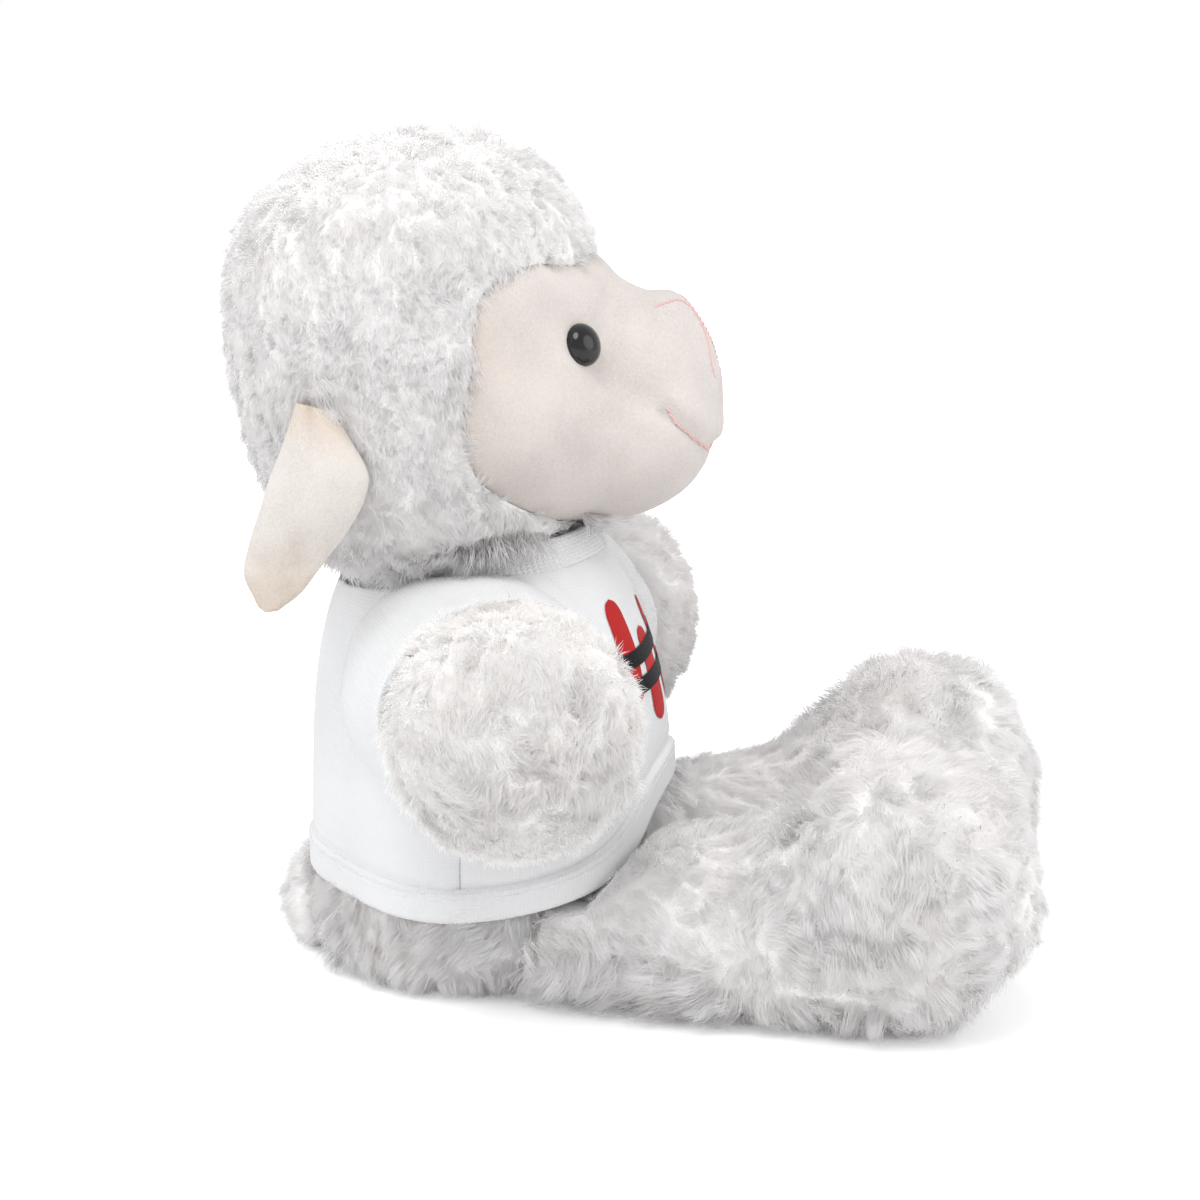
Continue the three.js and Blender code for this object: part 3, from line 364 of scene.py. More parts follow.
def loft(rings, start, end, caps):
    """Points and faces of the closed surface over rings, with rounded ends."""
    turns = np.linspace(0, math.pi / 2, caps + 1)[1:-1]

    def rounded(ring, pole):
        middle = ring.mean(0)
        return [middle + (ring - middle) * math.cos(q) + (pole - middle) * math.sin(q) for q in turns]

    rows = rounded(rings[0], start)[::-1] + list(rings) + rounded(rings[-1], end)
    rows = np.array(rows)
    r, n = rows.shape[:2]
    points = np.concatenate([[start], rows.reshape(-1, 3), [end]])
    i = np.arange(n)
    j = (i + 1) % n
    base = 1 + n * np.arange(r - 1)[:, None]
    quads = np.stack([base + i, base + j, base + n + j, base + n + i], -1).reshape(-1, 4)
    last = len(points) - 1
    top = last - n
    faces = [tuple(q) for q in quads.tolist()]
    faces += [(0, 1 + int(b), 1 + int(a)) for a, b in zip(i, j)]
    faces += [(last, top + int(a), top + int(b)) for a, b in zip(i, j)]
    return points, faces


def linked(name, data):
    obj = bpy.data.objects.new(name, data)
    bpy.context.collection.objects.link(obj)
    return obj


def mesh_object(name, points, faces, smooth_faces=True):
    mesh = bpy.data.meshes.new(name)
    mesh.from_pydata((np.asarray(points) * MM).tolist(), [], faces)
    mesh.validate()
    if smooth_faces:
        mesh.shade_smooth()
    return linked(name, mesh)


def outward(obj):
    """Turns the faces of a closed mesh outwards."""
    mesh = obj.data
    points = np.zeros(len(mesh.vertices) * 3, np.float32)
    mesh.vertices.foreach_get("co", points)
    points = points.reshape(-1, 3)
    mesh.calc_loop_triangles()
    tris = np.zeros(len(mesh.loop_triangles) * 3, np.int32)
    mesh.loop_triangles.foreach_get("vertices", tris)
    a, b, c = (points[tris.reshape(-1, 3)[:, k]] for k in range(3))
    if (a * np.cross(b, c)).sum() < 0:
        mesh.flip_normals()
    return obj


def shape(name, rings, start, end, caps=7):
    return outward(mesh_object(name, *loft(rings, start, end, caps)))


def applied(obj):
    """Makes what the modifiers give the object's own mesh."""
    bpy.context.view_layer.update()
    graph = bpy.context.evaluated_depsgraph_get()
    mesh = bpy.data.meshes.new_from_object(obj.evaluated_get(graph))
    old = obj.data
    obj.modifiers.clear()
    obj.data = mesh
    bpy.data.meshes.remove(old)
    mesh.name = obj.name
    return obj


def joined(obj, other, operation="DIFFERENCE", keep=False):
    modifier = obj.modifiers.new("cut", "BOOLEAN")
    modifier.operation = operation
    modifier.solver = "MANIFOLD"
    modifier.object = other
    applied(obj)
    if not keep:
        bpy.data.objects.remove(other)
    return obj


def round_angles(sides):
    return np.linspace(0, 2 * math.pi, sides, endpoint=False)


def ring_grid(point, places, sides):
    angle = round_angles(sides)
    return point(angle[None, :], places[:, None])


def surface(point, grow, places, sides):
    """A grid over one of the part's surfaces, grown by a distance."""
    return ring_grid(lambda a, s: point(a, s + 0 * a, grow), places, sides)


# Tufts of each kind of form: depth, size, seed and how far the form is drawn in for them
LUMPS = {"head": (1.2, 5.2, 1, 1.2), "arm": (0.9, 7.0, 2, 0.3), "leg": (1.9, 9.5, 3, 1.6)}


def form(name, kind, grow, sides=96, side=0):
    """A closed form of the part, grown by a distance."""
    lumps = LUMPS.get(kind) if grow == 0 else None
    if kind == "torso":
        places = np.linspace(0, 1, 44) * TORSO_HEIGHT
        grid = surface(torso_point, grow, places, sides)
        start, end = at(0, -34, -0.5 - grow), at(0, -34, TORSO_HEIGHT + grow)
        return shape(name, grid, start, end, 2)
    if kind == "head":
        places = np.linspace(0.02, 0.985, 62)
        grid = surface(head_point, grow, places, sides)
        grid = lumpy(grid, *lumps) if lumps else grid
        start, end = at(0, -46, HEAD_BASE - grow), at(0, -49.4, HEAD_BASE + HEAD_HEIGHT + grow)
        return shape(name, grid, start, end)
    if kind == "face":
        places = np.linspace(0.06, 0.988, 64)
        grid = surface(face_point, grow, places, sides)
        start, end = at(0, MUZZLE_TIP - FACE_LENGTH - grow, MUZZLE_RISE), at(0, MUZZLE_TIP + grow, 134.6)
        return shape(name, grid, start, end)
    if kind == "arm":
        grid = arm_grid(side, grow, sides)
        grid = lumpy(grid, *lumps) if lumps else grid
        root, tip = (arm_point(side, 0, d, 0) for d in (-grow, ARM_LENGTH + grow))
        return shape(name, grid, root, tip)
    if kind == "leg":
        grid = leg_grid(side, grow, sides)
        grid = lumpy(grid, *lumps) if lumps else grid
        hip, along, _ = leg_axes(side)
        up = np.array([0, 0, 1.0])
        root = hip - along * grow + up * leg_section(0.0, 0)[2]
        tip = hip + along * (LEG_LENGTH + grow) + up * leg_section(1.0, 0)[2]
        return shape(name, grid, root, tip)
    grid = surface(tail_point, grow, np.linspace(0, 0.88, 20), sides)
    return shape(name, grid, at(0, -TAIL_BACK + grow, 11), at(0, -TAIL_BACK - TAIL_LENGTH - grow, 11))


def arm_grid(side, grow, sides):
    places = np.linspace(0, 0.96, 40)
    angle = round_angles(sides)[None, :]
    share = places[:, None] + 0 * angle
    radius = arm_radius(share) * HAND_RADIUS + grow
    return arm_point(side, angle + 0 * share, stretched(share, ARM_LENGTH, grow), radius)


def leg_grid(side, grow, sides):
    return ring_grid(lambda a, s: leg_point(side, a + 0 * s, s + 0 * a, grow), np.linspace(0, 0.98, 56), sides)


def swelling(points, size, seed):
    """From 0 in the valleys between soft tufts about size millimetres across to 1 on them."""
    out = np.empty(len(points))
    for i, p in enumerate((points / size + seed * 17.3).tolist()):
        near = noise.voronoi(p)[0][0]
        swell = noise.noise([c * 0.45 for c in p])
        out[i] = 0.65 * math.sqrt(max(0.0, 1 - 1.1 * near * near)) + 0.35 * (0.5 + swell)
    return out


def lumpy(grid, depth, size, seed, inset):
    """The grid drawn in a little, with soft tufts standing out of it."""
    out = swelling(grid.reshape(-1, 3), size, seed).reshape(grid.shape[:2])
    return grid + grid_normals(grid) * (out * depth - inset)[..., None]


def grid_normals(grid):
    down = np.gradient(grid, axis=0)
    ahead = (np.roll(grid, -1, 1) - np.roll(grid, 1, 1)) / 2
    n = unit(np.cross(down, ahead))
    middle = grid.mean((0, 1))
    return n * np.sign(((grid - middle) * n).sum())


def slab(name, low, high):
    x = [-400, 400]
    points = [(a, b, c) for c in (low, high) for a, b in ((x[0], x[0]), (x[1], x[0]), (x[1], x[1]), (x[0], x[1]))]
    faces = [(3, 2, 1, 0), (4, 5, 6, 7), (0, 1, 5, 4), (1, 2, 6, 5), (2, 3, 7, 6), (3, 0, 4, 7)]
    return mesh_object(name, points, faces, False)


def lathe(name, rows, base, axis, sides):
    """A turned solid from rows of [radius, height], closed on its axis or on itself."""
    axis = unit(np.asarray(axis, float))
    help_axis = np.array([1.0, 0, 0]) if abs(axis[0]) < 0.9 else np.array([0, 1.0, 0])
    u = unit(np.cross(axis, help_axis))
    v = np.cross(axis, u)
    angle = round_angles(sides)
    spin = np.cos(angle)[:, None] * u + np.sin(angle)[:, None] * v
    points, faces, index = [], [], []
    for radius, height in rows:
        if radius < 1e-9:
            index.append([len(points)] * sides)
            points.append(base + axis * height)
        else:
            index.append(list(range(len(points), len(points) + sides)))
            points.extend(base + axis * height + spin * radius)
    for a, b in zip(index, index[1:]):
        for i in range(sides):
            j = (i + 1) % sides
            quad = list(dict.fromkeys((a[i], a[j], b[j], b[i])))
            if len(quad) > 2:
                faces.append(quad)
    return outward(mesh_object(name, points, faces))


def facing_away(obj, middle):
    """Turns the faces of an open sheet away from a point, in millimetres."""
    mesh = obj.data
    centres, normals = np.zeros((2, len(mesh.polygons) * 3), np.float32)
    mesh.polygons.foreach_get("center", centres)
    mesh.polygons.foreach_get("normal", normals)
    if ((centres.reshape(-1, 3) - np.asarray(middle) * MM) * normals.reshape(-1, 3)).sum() < 0:
        mesh.flip_normals()
    return obj


def grid_sheet(name, points, faces_wanted=None, wrap=False, uv=None):
    """An open sheet over a grid of points, without the cells that faces_wanted leaves out."""
    r, n = points.shape[:2]
    cols = n if wrap else n - 1
    i, j = np.meshgrid(np.arange(r - 1), np.arange(cols), indexing="ij")
    k = (j + 1) % n
    quads = np.stack([i * n + j, i * n + k, (i + 1) * n + k, (i + 1) * n + j], -1)
    if faces_wanted is not None:
        quads = quads[faces_wanted]
    quads = quads.reshape(-1, 4)
    used, renumbered = np.unique(quads, return_inverse=True)
    obj = mesh_object(name, points.reshape(-1, 3)[used], renumbered.reshape(-1, 4).tolist())
    if uv is not None:
        layer = obj.data.uv_layers.new(name="Grain")
        layer.data.foreach_set("uv", uv.reshape(-1, 2)[quads.reshape(-1)].astype(np.float32).reshape(-1))
    return obj


def thicken(obj, thickness):
    """Gives a sheet its thickness, behind its face."""
    modifier = obj.modifiers.new("cloth", "SOLIDIFY")
    modifier.thickness = thickness * MM
    modifier.offset = -1
    modifier.use_even_offset = True
    return applied(obj)


def sharp_edges(obj, degrees=50):
    obj.data.shade_smooth()
    obj.data.set_sharp_from_angle(angle=math.radians(degrees))
    return obj


# Materials


def material(name, base=None, **values):
    m = bpy.data.materials.new(name)
    m.use_nodes = True
    tree = m.node_tree
    shader = tree.nodes["Principled BSDF"]
    if base:
        shader.inputs["Base Color"].default_value = (*base, 1)
    for key, value in values.items():
        shader.inputs[key.replace("_", " ")].default_value = value
    return m, tree, shader


def feed(tree, sockets, values):
    """Links each socket to its output, or gives it its value."""
    for socket, value in zip(sockets, values):
        if hasattr(value, "is_output"):
            tree.links.new(value, socket)
        else:
            socket.default_value = value


def node(tree, kind, **inputs):
    made = tree.nodes.new(kind)
    feed(tree, [made.inputs[key.replace("_", " ")] for key in inputs], inputs.values())
    return made


def ramp(tree, factor, *stops):
    made = tree.nodes.new("ShaderNodeValToRGB")
    tree.links.new(factor, made.inputs["Fac"])
    elements = made.color_ramp.elements
    while len(elements) < len(stops):
        elements.new(0.5)
    for element, (place, color) in zip(elements, stops):
        element.position = place
        element.color = (*color, 1)
    return made.outputs["Color"]


def math_node(tree, operation, a, b=0.0):
    made = tree.nodes.new("ShaderNodeMath")
    made.operation = operation
    feed(tree, made.inputs, (a, b))
    return made.outputs[0]


def bump(tree, shader, height, strength, distance):
    made = node(tree, "ShaderNodeBump", Strength=strength, Distance=distance, Height=height)
    tree.links.new(made.outputs["Normal"], shader.inputs["Normal"])


def place_of(tree, stretch=(1, 1, 1)):
    """The piece's own coordinates, in millimetres."""
    coordinates = tree.nodes.new("ShaderNodeTexCoord")
    mapping = node(tree, "ShaderNodeMapping", Vector=coordinates.outputs["Object"])
    mapping.inputs["Scale"].default_value = [s / MM for s in stretch]
    return mapping.outputs["Vector"]


def clouds(tree, place, scale, detail, **more):
    return node(tree, "ShaderNodeTexNoise", Vector=place, Scale=scale, Detail=detail, **more).outputs["Fac"]


def weighed(tree, a, share_of_a, b, share_of_b):
    part_of_a = math_node(tree, "MULTIPLY", a, share_of_a)
    return math_node(tree, "ADD", part_of_a, math_node(tree, "MULTIPLY", b, share_of_b))


def colored(tree, shader, factor, *stops):
    tree.links.new(ramp(tree, factor, *stops), shader.inputs["Base Color"])


def roughened(tree, shader, factor, *stops):
    grey = ((place, (value,) * 3) for place, value in stops)
    tree.links.new(ramp(tree, factor, *grey), shader.inputs["Roughness"])


def times(color, factor):
    return tuple(c * factor for c in color)


def multiplied(tree, share, a, b):
    """One colour times another, as far as share says."""
    made = tree.nodes.new("ShaderNodeMix")
    made.data_type, made.blend_type = "RGBA", "MULTIPLY"
    feed(tree, (made.inputs[0], made.inputs[6], made.inputs[7]), (share, a, b))
    return made.outputs[2]


def shaders_mixed(tree, share, a, b):
    made = tree.nodes.new("ShaderNodeMixShader")
    feed(tree, made.inputs, (share, a, b))
    return made.outputs[0]


def stepped(tree, value, low, high):
    """0 at one value and 1 at another, with a soft rise between them."""
    made = node(tree, "ShaderNodeMapRange", Value=value, From_Min=low, From_Max=high)
    made.interpolation_type = "SMOOTHSTEP"
    return made.outputs["Result"]


def uv_parts(tree, name):
    uv = tree.nodes.new("ShaderNodeUVMap")
    uv.uv_map = name
    return node(tree, "ShaderNodeSeparateXYZ", Vector=uv.outputs["UV"]).outputs


def strand_material(name, root, middle, tip, valley_shade):
    """Fibres: the colour runs from root to tip, and from the valleys between tufts to their tops; the darker roots
    and valleys are painted shade.
    """
    m, tree, shader = material(name, Roughness=0.75, Specular_IOR_Level=0.25)
    parts = uv_parts(tree, "OFBake")
    # Painted shade: roots darker than tips, and valleys darker than the tops of the tufts
    along = ramp(tree, parts["Y"], (0, root), (0.45, middle), (1, tip))
    shade = ramp(tree, parts["X"], (0.03, times(valley_shade, 0.88)), (0.12, valley_shade), (0.8, (1, 1, 1)))
    color = multiplied(tree, 1, along, shade)
    tree.links.new(color, shader.inputs["Base Color"])
    shader.inputs["Sheen Weight"].default_value = 0.15
    through = node(tree, "ShaderNodeBsdfTranslucent", Color=color)
    both = shaders_mixed(tree, SHINES_THROUGH, shader.outputs[0], through.outputs[0])
    tree.links.new(both, tree.nodes["Material Output"].inputs["Surface"])
    return m


def backing_material():
    """The knitted backing between the tufts."""
    m, tree, shader = material("plush_backing", Roughness=0.95, Specular_IOR_Level=0.1)
    place = place_of(tree)
    patches = clouds(tree, place, 0.35, 4.0)
    colored(tree, shader, patches, (0.3, (0.92, 0.9, 0.89)), (0.7, (0.96, 0.95, 0.945)))
    bump(tree, shader, clouds(tree, place, 2.2, 3.0), 0.8, 0.0006)
    return m


def velour_material(name, pile, axis, *shades):
    """Short cream pile that lies unevenly, with painted shade along an axis from one place to another, in
    millimetres.
    """
    m, tree, shader = material(name, Roughness=0.85, Specular_IOR_Level=0.2)
    place = place_of(tree)
    broad = clouds(tree, place, 0.06, 3.0)
    fine = clouds(tree, place, 1.6, 4.0, Roughness=0.65)
    mixed = weighed(tree, broad, 0.5, fine, 0.5)
    pale = ramp(tree, mixed, (0.38, times(pile, 0.9)), (0.5, pile), (0.64, times(pile, 1.09)))
    parts = node(tree, "ShaderNodeSeparateXYZ", Vector=place)
    shift = math_node(tree, "MULTIPLY", math_node(tree, "SUBTRACT", broad, 0.5), 30)
    moved = math_node(tree, "ADD", parts.outputs[axis], shift)
    for shaded, low, high in shades:
        pale = multiplied(tree, stepped(tree, moved, low, high), pale, (*shaded, 1))
    tree.links.new(pale, shader.inputs["Base Color"])
    grain = clouds(tree, place, 3.2, 5.0, Roughness=0.7)
    bump(tree, shader, math_node(tree, "ADD", grain, fine), 0.4, 0.0005)
    roughened(tree, shader, fine, (0.3, 0.75), (0.7, 0.95))
    shader.inputs["Sheen Weight"].default_value = 0.2
    shader.inputs["Sheen Roughness"].default_value = 0.45
    return m


def jersey_material(name, base, rib=False):
    """Knitted jersey: columns of small loops along the cloth's grain, in millimetres."""
    m, tree, shader = material(name, Roughness=0.9, Specular_IOR_Level=0.2)
    parts = uv_parts(tree, "Grain")
    across = math_node(tree, "MULTIPLY", parts["X"], math.pi * (0.75 if rib else 1.45))
    column_wave = math_node(tree, "ABSOLUTE", math_node(tree, "SINE", across))
    slant = math_node(tree, "ABSOLUTE", math_node(tree, "COSINE", across))
    row = weighed(tree, parts["Y"], 2 * math.pi * 1.25, slant, 2.2)
    uneven = math_node(tree, "MULTIPLY", math_node(tree, "SINE", row), 0.35)
    loops = math_node(tree, "MULTIPLY", column_wave, math_node(tree, "ADD", uneven, 0.65))
    fuzz = clouds(tree, place_of(tree), 1.2, 4.0)
    broad = clouds(tree, place_of(tree), 0.05, 2.0)
    height = math_node(tree, "ADD", loops, math_node(tree, "MULTIPLY", fuzz, 0.7))
    bump(tree, shader, height, 0.7 if rib else 0.33, 0.0004)
    colored(tree, shader, weighed(tree, loops, 0.35, broad, 0.65), (0.2, times(base, 0.93)), (0.6, base))
    roughened(tree, shader, fuzz, (0.3, 0.8), (0.7, 0.97))
    shader.inputs["Sheen Weight"].default_value = 0.1
    return m


def printed_material(name, base):
    """A thin printed film with a fine, uneven grain."""
    m, tree, shader = material(name, Roughness=0.6, Specular_IOR_Level=0.15)
    fine = clouds(tree, place_of(tree), 2.5, 3.0)
    colored(tree, shader, fine, (0.35, times(base, 0.82)), (0.65, base))
    roughened(tree, shader, fine, (0.3, 0.45), (0.7, 0.7))
    bump(tree, shader, fine, 0.3, 0.0002)
    return m


def thread_material(name, base):
    """Twisted thread with a soft shine."""
    m, tree, shader = material(name, Roughness=0.5, Specular_IOR_Level=0.4)
    wave = node(tree, "ShaderNodeTexWave", Vector=place_of(tree), Scale=3.0, Distortion=1.5, Detail=1.0)
    twist = wave.outputs["Fac"]
    colored(tree, shader, twist, (0.1, times(base, 0.8)), (0.8, base))
    roughened(tree, shader, twist, (0, 0.65), (1, 0.45))
    bump(tree, shader, twist, 0.4, 0.0002)
    return m


def plastic_material(name, base, roughness, grain, coat=0.0):
    m, tree, shader = material(name, Roughness=roughness)
    fine = clouds(tree, place_of(tree), grain, 3.0)
    light = tuple(min(1, c * 1.12 + 0.004) for c in base)
    colored(tree, shader, fine, (0.3, base), (0.75, light))
    roughened(tree, shader, fine, (0.3, max(0.02, roughness * 0.7)), (0.75, min(1, roughness * 1.4)))
    bump(tree, shader, fine, 0.06, 0.0001)
    shader.inputs["Coat Weight"].default_value = coat
    return m


def fibre_material():
    """Loose polyester filling."""
    m, tree, shader = material("loose_fibre", Roughness=0.9)
    tangle = clouds(tree, place_of(tree), 0.8, 6.0, Distortion=2.0)
    colored(tree, shader, tangle, (0.3, (0.8, 0.8, 0.77)), (0.7, (0.97, 0.97, 0.95)))
    bump(tree, shader, tangle, 0.9, 0.001)
    return m


def woven_material():
    """Plain woven cloth of the pellet bag."""
    m, tree, shader = material("woven_bag_cloth", Roughness=0.85)
    warp = node(tree, "ShaderNodeTexWave", Vector=place_of(tree), Scale=0.55)
    weft = node(tree, "ShaderNodeTexWave", Vector=place_of(tree, stretch=(1, 1, -1)), Scale=0.55)
    weft.bands_direction = "Z"
    both = math_node(tree, "MULTIPLY", warp.outputs["Fac"], weft.outputs["Fac"])
    colored(tree, shader, both, (0, (0.7, 0.7, 0.67)), (1, (0.88, 0.88, 0.85)))
    bump(tree, shader, both, 0.6, 0.0003)
    return m


def pellet_material():
    """Small moulded pellets, packed together."""
    m, tree, shader = material("moulded_pellets", Roughness=0.4)
    cells = node(tree, "ShaderNodeTexVoronoi", Vector=place_of(tree), Scale=0.35)
    distance = cells.outputs["Distance"]
    # Painted shade: each pellet darker towards its rim, in the gaps between the packed pellets
    colored(tree, shader, distance, (0, (0.86, 0.87, 0.88)), (0.8, (0.6, 0.61, 0.63)))
    bump(tree, shader, math_node(tree, "SUBTRACT", 1.0, distance), 1.0, 0.001)
    return m


BACKING = backing_material()
# Painted shade: the face darker towards its back, and each ear darker at its pinched root and at its tip
FACE_VELOUR = velour_material("face_pile_cream", (0.685, 0.63, 0.592), "Y", ((0.96, 0.92, 0.88), 14, 46))
EAR_VELOUR = velour_material(
    "ear_pile_cream", (0.715, 0.669, 0.627), "Z", ((0.92, 0.84, 0.76), 126, 142), ((0.86, 0.79, 0.72), 112, 94)
)
JERSEY_WHITE = (0.775, 0.775, 0.78)
JERSEY = jersey_material("white_jersey", JERSEY_WHITE)
RIBBED = jersey_material("white_rib", JERSEY_WHITE, rib=True)

# Fleeces, each with the colours of its fibres' root, middle and tip and of the valleys between its tufts; the darker
# roots and valleys are painted shade
SHINES_THROUGH = 0.7
CURLY = strand_material(
    "curly_fleece", (0.972, 0.963, 0.959), (0.989, 0.983, 0.981), (0.995, 0.992, 0.991), (0.982, 0.973, 0.968)
)
SHAGGY = strand_material(
    "shaggy_fleece", (0.973, 0.962, 0.956), (0.997, 0.992, 0.99), (1, 0.998, 0.998), (0.985, 0.974, 0.967)
)
BRUSHED = strand_material(
    "brushed_fleece", (0.972, 0.96, 0.952), (0.992, 0.986, 0.982), (1, 0.997, 0.994), (0.982, 0.969, 0.96)
)
RED = printed_material("red_print", (0.5, 0.018, 0.016))
BLACK = printed_material("black_print", (0.008, 0.008, 0.009))
PINK = thread_material("pink_thread", (0.93, 0.6, 0.58))
WHITE_THREAD = thread_material("white_thread", (0.9, 0.9, 0.9))
EYE = plastic_material("eye_black", (0.003, 0.003, 0.004), 0.16, 0.35, coat=0.1)
WASHER = plastic_material("washer_plastic", (0.82, 0.82, 0.79), 0.45, 1.0)


def dressed(obj, body, *replaced, look, slot):
    """Gives a piece its material, its body and the CAD nodes that it stands for; the slot is not used."""
    obj.data.materials.clear()
    obj.data.materials.append(look)
    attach(obj, body)
    if replaced:
        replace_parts(obj, *replaced)
    return obj


# Camera and light: the camera looks at AIM from its distance, turned and lifted as in the photograph

AIM, CAMERA_AWAY = Vector((0, 0.008, 0.0866)), 0.7
VIEW_TURN, VIEW_LIFT, SENSOR, LENS = 7.5, 12.5, 36, 89.25

camera = linked("camera", bpy.data.cameras.new("camera"))
turn, lift = math.radians(VIEW_TURN), math.radians(VIEW_LIFT)
back = Vector((-math.cos(turn) * math.cos(lift), -math.sin(turn) * math.cos(lift), math.sin(lift)))
camera.location = AIM + back * CAMERA_AWAY
camera.rotation_mode = "QUATERNION"
camera.rotation_quaternion = (-back).to_track_quat("-Z", "Y")
camera.data.sensor_width, camera.data.lens = SENSOR, LENS
camera.data.clip_start, camera.data.clip_end = 0.01, 20
bpy.context.scene.camera = camera
bpy.context.scene.view_settings.view_transform = "Standard"

world = bpy.data.worlds.new("world")
bpy.context.scene.world = world
world.use_nodes = True
sky = world.node_tree
light_path = sky.nodes.new("ShaderNodeLightPath")
seen = math_node(sky, "MAXIMUM", light_path.outputs["Is Camera Ray"], light_path.outputs["Is Transmission Ray"])
plain = sky.nodes["Background"]
plain.inputs["Color"].default_value = (0.97, 0.98, 1, 1)
plain.inputs["Strength"].default_value = 0.78
white = node(sky, "ShaderNodeBackground", Color=(1, 1, 1, 1), Strength=1.0)
either = shaders_mixed(sky, seen, plain.outputs[0], white.outputs[0])
sky.links.new(either, sky.nodes["World Output"].inputs["Surface"])


def lamp(name, place, *, size, power):
    """A round lamp that faces the part, with its width in metres and its power in watts."""
    light = bpy.data.lights.new(name, "AREA")
    light.shape = "DISK"
    light.size = size
    light.energy = power
    obj = linked(name, light)
    obj.location = place
    obj.rotation_mode = "QUATERNION"
    obj.rotation_quaternion = (Vector((0, 0, 0.09)) - Vector(place)).to_track_quat("-Z", "Y")


lamp("key", (-0.65, 0.15, 1.3), size=0.85, power=8.0)
lamp("fill", (-0.2, -1.2, 0.6), size=1.2, power=4.8)
lamp("back", (-0.5, 1.2, 0.8), size=1.1, power=3.6)

FAR = 3000
floor = mesh_object("floor", [(-FAR, -FAR, 0), (FAR, -FAR, 0), (FAR, FAR, 0), (-FAR, FAR, 0)], [(0, 1, 2, 3)])
floor_look, tree, shader = material("floor_white", (1, 1, 1), Roughness=1.0, Specular_IOR_Level=0.0)
ray = tree.nodes.new("ShaderNodeLightPath")
away = node(tree, "ShaderNodeVectorMath", Vector=tree.nodes.new("ShaderNodeTexCoord").outputs["Object"])
away.operation = "LENGTH"
far = stepped(tree, away.outputs["Value"], 0.12, 0.42)
lit = math_node(tree, "ADD", math_node(tree, "MULTIPLY", far, 0.5), 0.2)
shader.inputs["Emission Color"].default_value = (1, 1, 1, 1)
tree.links.new(math_node(tree, "MULTIPLY", ray.outputs["Is Camera Ray"], lit), shader.inputs["Emission Strength"])
floor.data.materials.append(floor_look)
floor.location.z = -0.0004


# The face: its stitched lines and its shaping


def face_chain(turns, behinds):
    """A smooth chain over the face through places given by turn and distance behind the tip."""
    t = np.linspace(0, 1, len(turns))
    fine = np.linspace(0, 1, 80)
    rows = [[a, b, c] for a, b, c in zip(t, turns, behinds)]
    turn_now, behind_now = column(rows, 1)(fine), column(rows, 2)(fine)
    path = on_face(np.radians(turn_now), behind_now, 0.15)
    outs = unit(on_face(np.radians(turn_now), behind_now, 1.0) - on_face(np.radians(turn_now), behind_now, 0.0))
    return path, outs


# Rows of degrees from the face's ridge and millimetres behind its tip
MOUTH = [[91, 10.7], [97, 8.5], [104, 6.5], [115, 4.5], [138, 2.7], [180, 2.0]]
NOSE = [[27.5, 14.7], [24, 12.4], [16, 10.5], [6, 8.2], [4, 5.5], [13, 3.2], [33, 1.9], [45, 0.9]]
CREASE = [[28, 23.9], [39, 23.7], [48, 23.4], [56.5, 23.9], [64, 24.4]]
CREASE += [[70, 24.3], [75, 19.9], [82, 15.2], [91, 10.7]]


def on_both_sides(rows):
    return [face_chain([s * a for a, _ in rows], [b for _, b in rows]) for s in (-1, 1)]


mirrored = MOUTH[-2::-1]
mouth = face_chain([a for a, _ in MOUTH] + [360 - a for a, _ in mirrored], [b for _, b in MOUTH + mirrored])
noses, creases = on_both_sides(NOSE), on_both_sides(CREASE)


def vertices_of(mesh):
    points = np.zeros(len(mesh.vertices) * 3, np.float32)
    mesh.vertices.foreach_get("co", points)
    return points.reshape(-1, 3).astype(float)


def normals_of(mesh):
    normals = np.zeros(len(mesh.vertices) * 3, np.float32)
    mesh.vertex_normals.foreach_get("vector", normals)
    return normals.reshape(-1, 3)


def moved_to(obj, points):
    """Puts a mesh's vertices at points, in metres."""
    obj.data.vertices.foreach_set("co", points.astype(np.float32).reshape(-1))
    obj.data.update()
    return obj


def simulated(obj, held, most, pressure, frames=20):
    """Runs a cloth simulation on a mesh that is held where held says 1.

    No point moves more than most millimetres. On the face none moves more than about 0.1.
    """
    before = vertices_of(obj.data)
    group = obj.vertex_groups.new(name="held")
    for i, w in enumerate(held(before / MM).tolist()):
        if w > 0.001:
            group.add([i], w, "REPLACE")
    cloth = obj.modifiers.new("cloth", "CLOTH")
    settings = cloth.settings
    settings.quality = 6
    settings.mass = 0.0002
    settings.bending_stiffness = 0.02
    settings.vertex_group_mass = "held"
    settings.use_pressure = True
    settings.uniform_pressure_force = pressure
    settings.effector_weights.gravity = 0
    cloth.collision_settings.use_collision = False
    cloth.point_cache.frame_start, cloth.point_cache.frame_end = 1, frames
    for frame_number in range(1, frames + 1):
        bpy.context.scene.frame_set(frame_number)
    now = obj.evaluated_get(bpy.context.evaluated_depsgraph_get())
    after = vertices_of(now.data)
    obj.modifiers.clear()
    obj.vertex_groups.clear()
    bpy.context.scene.frame_set(1)
    moved = after - before
    far = np.linalg.norm(moved, axis=1, keepdims=True)
    moved = moved * np.minimum(1, most * MM / np.maximum(far, 1e-9))
    print("simulated", obj.name, "moved most", round(far.max() / MM, 2), "mean", round(far.mean() / MM, 2))
    return moved_to(obj, before + moved)


def gap_to(points, places):
    return np.sqrt(((points[:, None] - np.asarray(places)[None]) ** 2).sum(-1)).min(1)


def near(points, places, full, none):
    """1 within one distance of the nearest place, and 0 beyond another."""
    return smooth(gap_to(points, places), none, full)


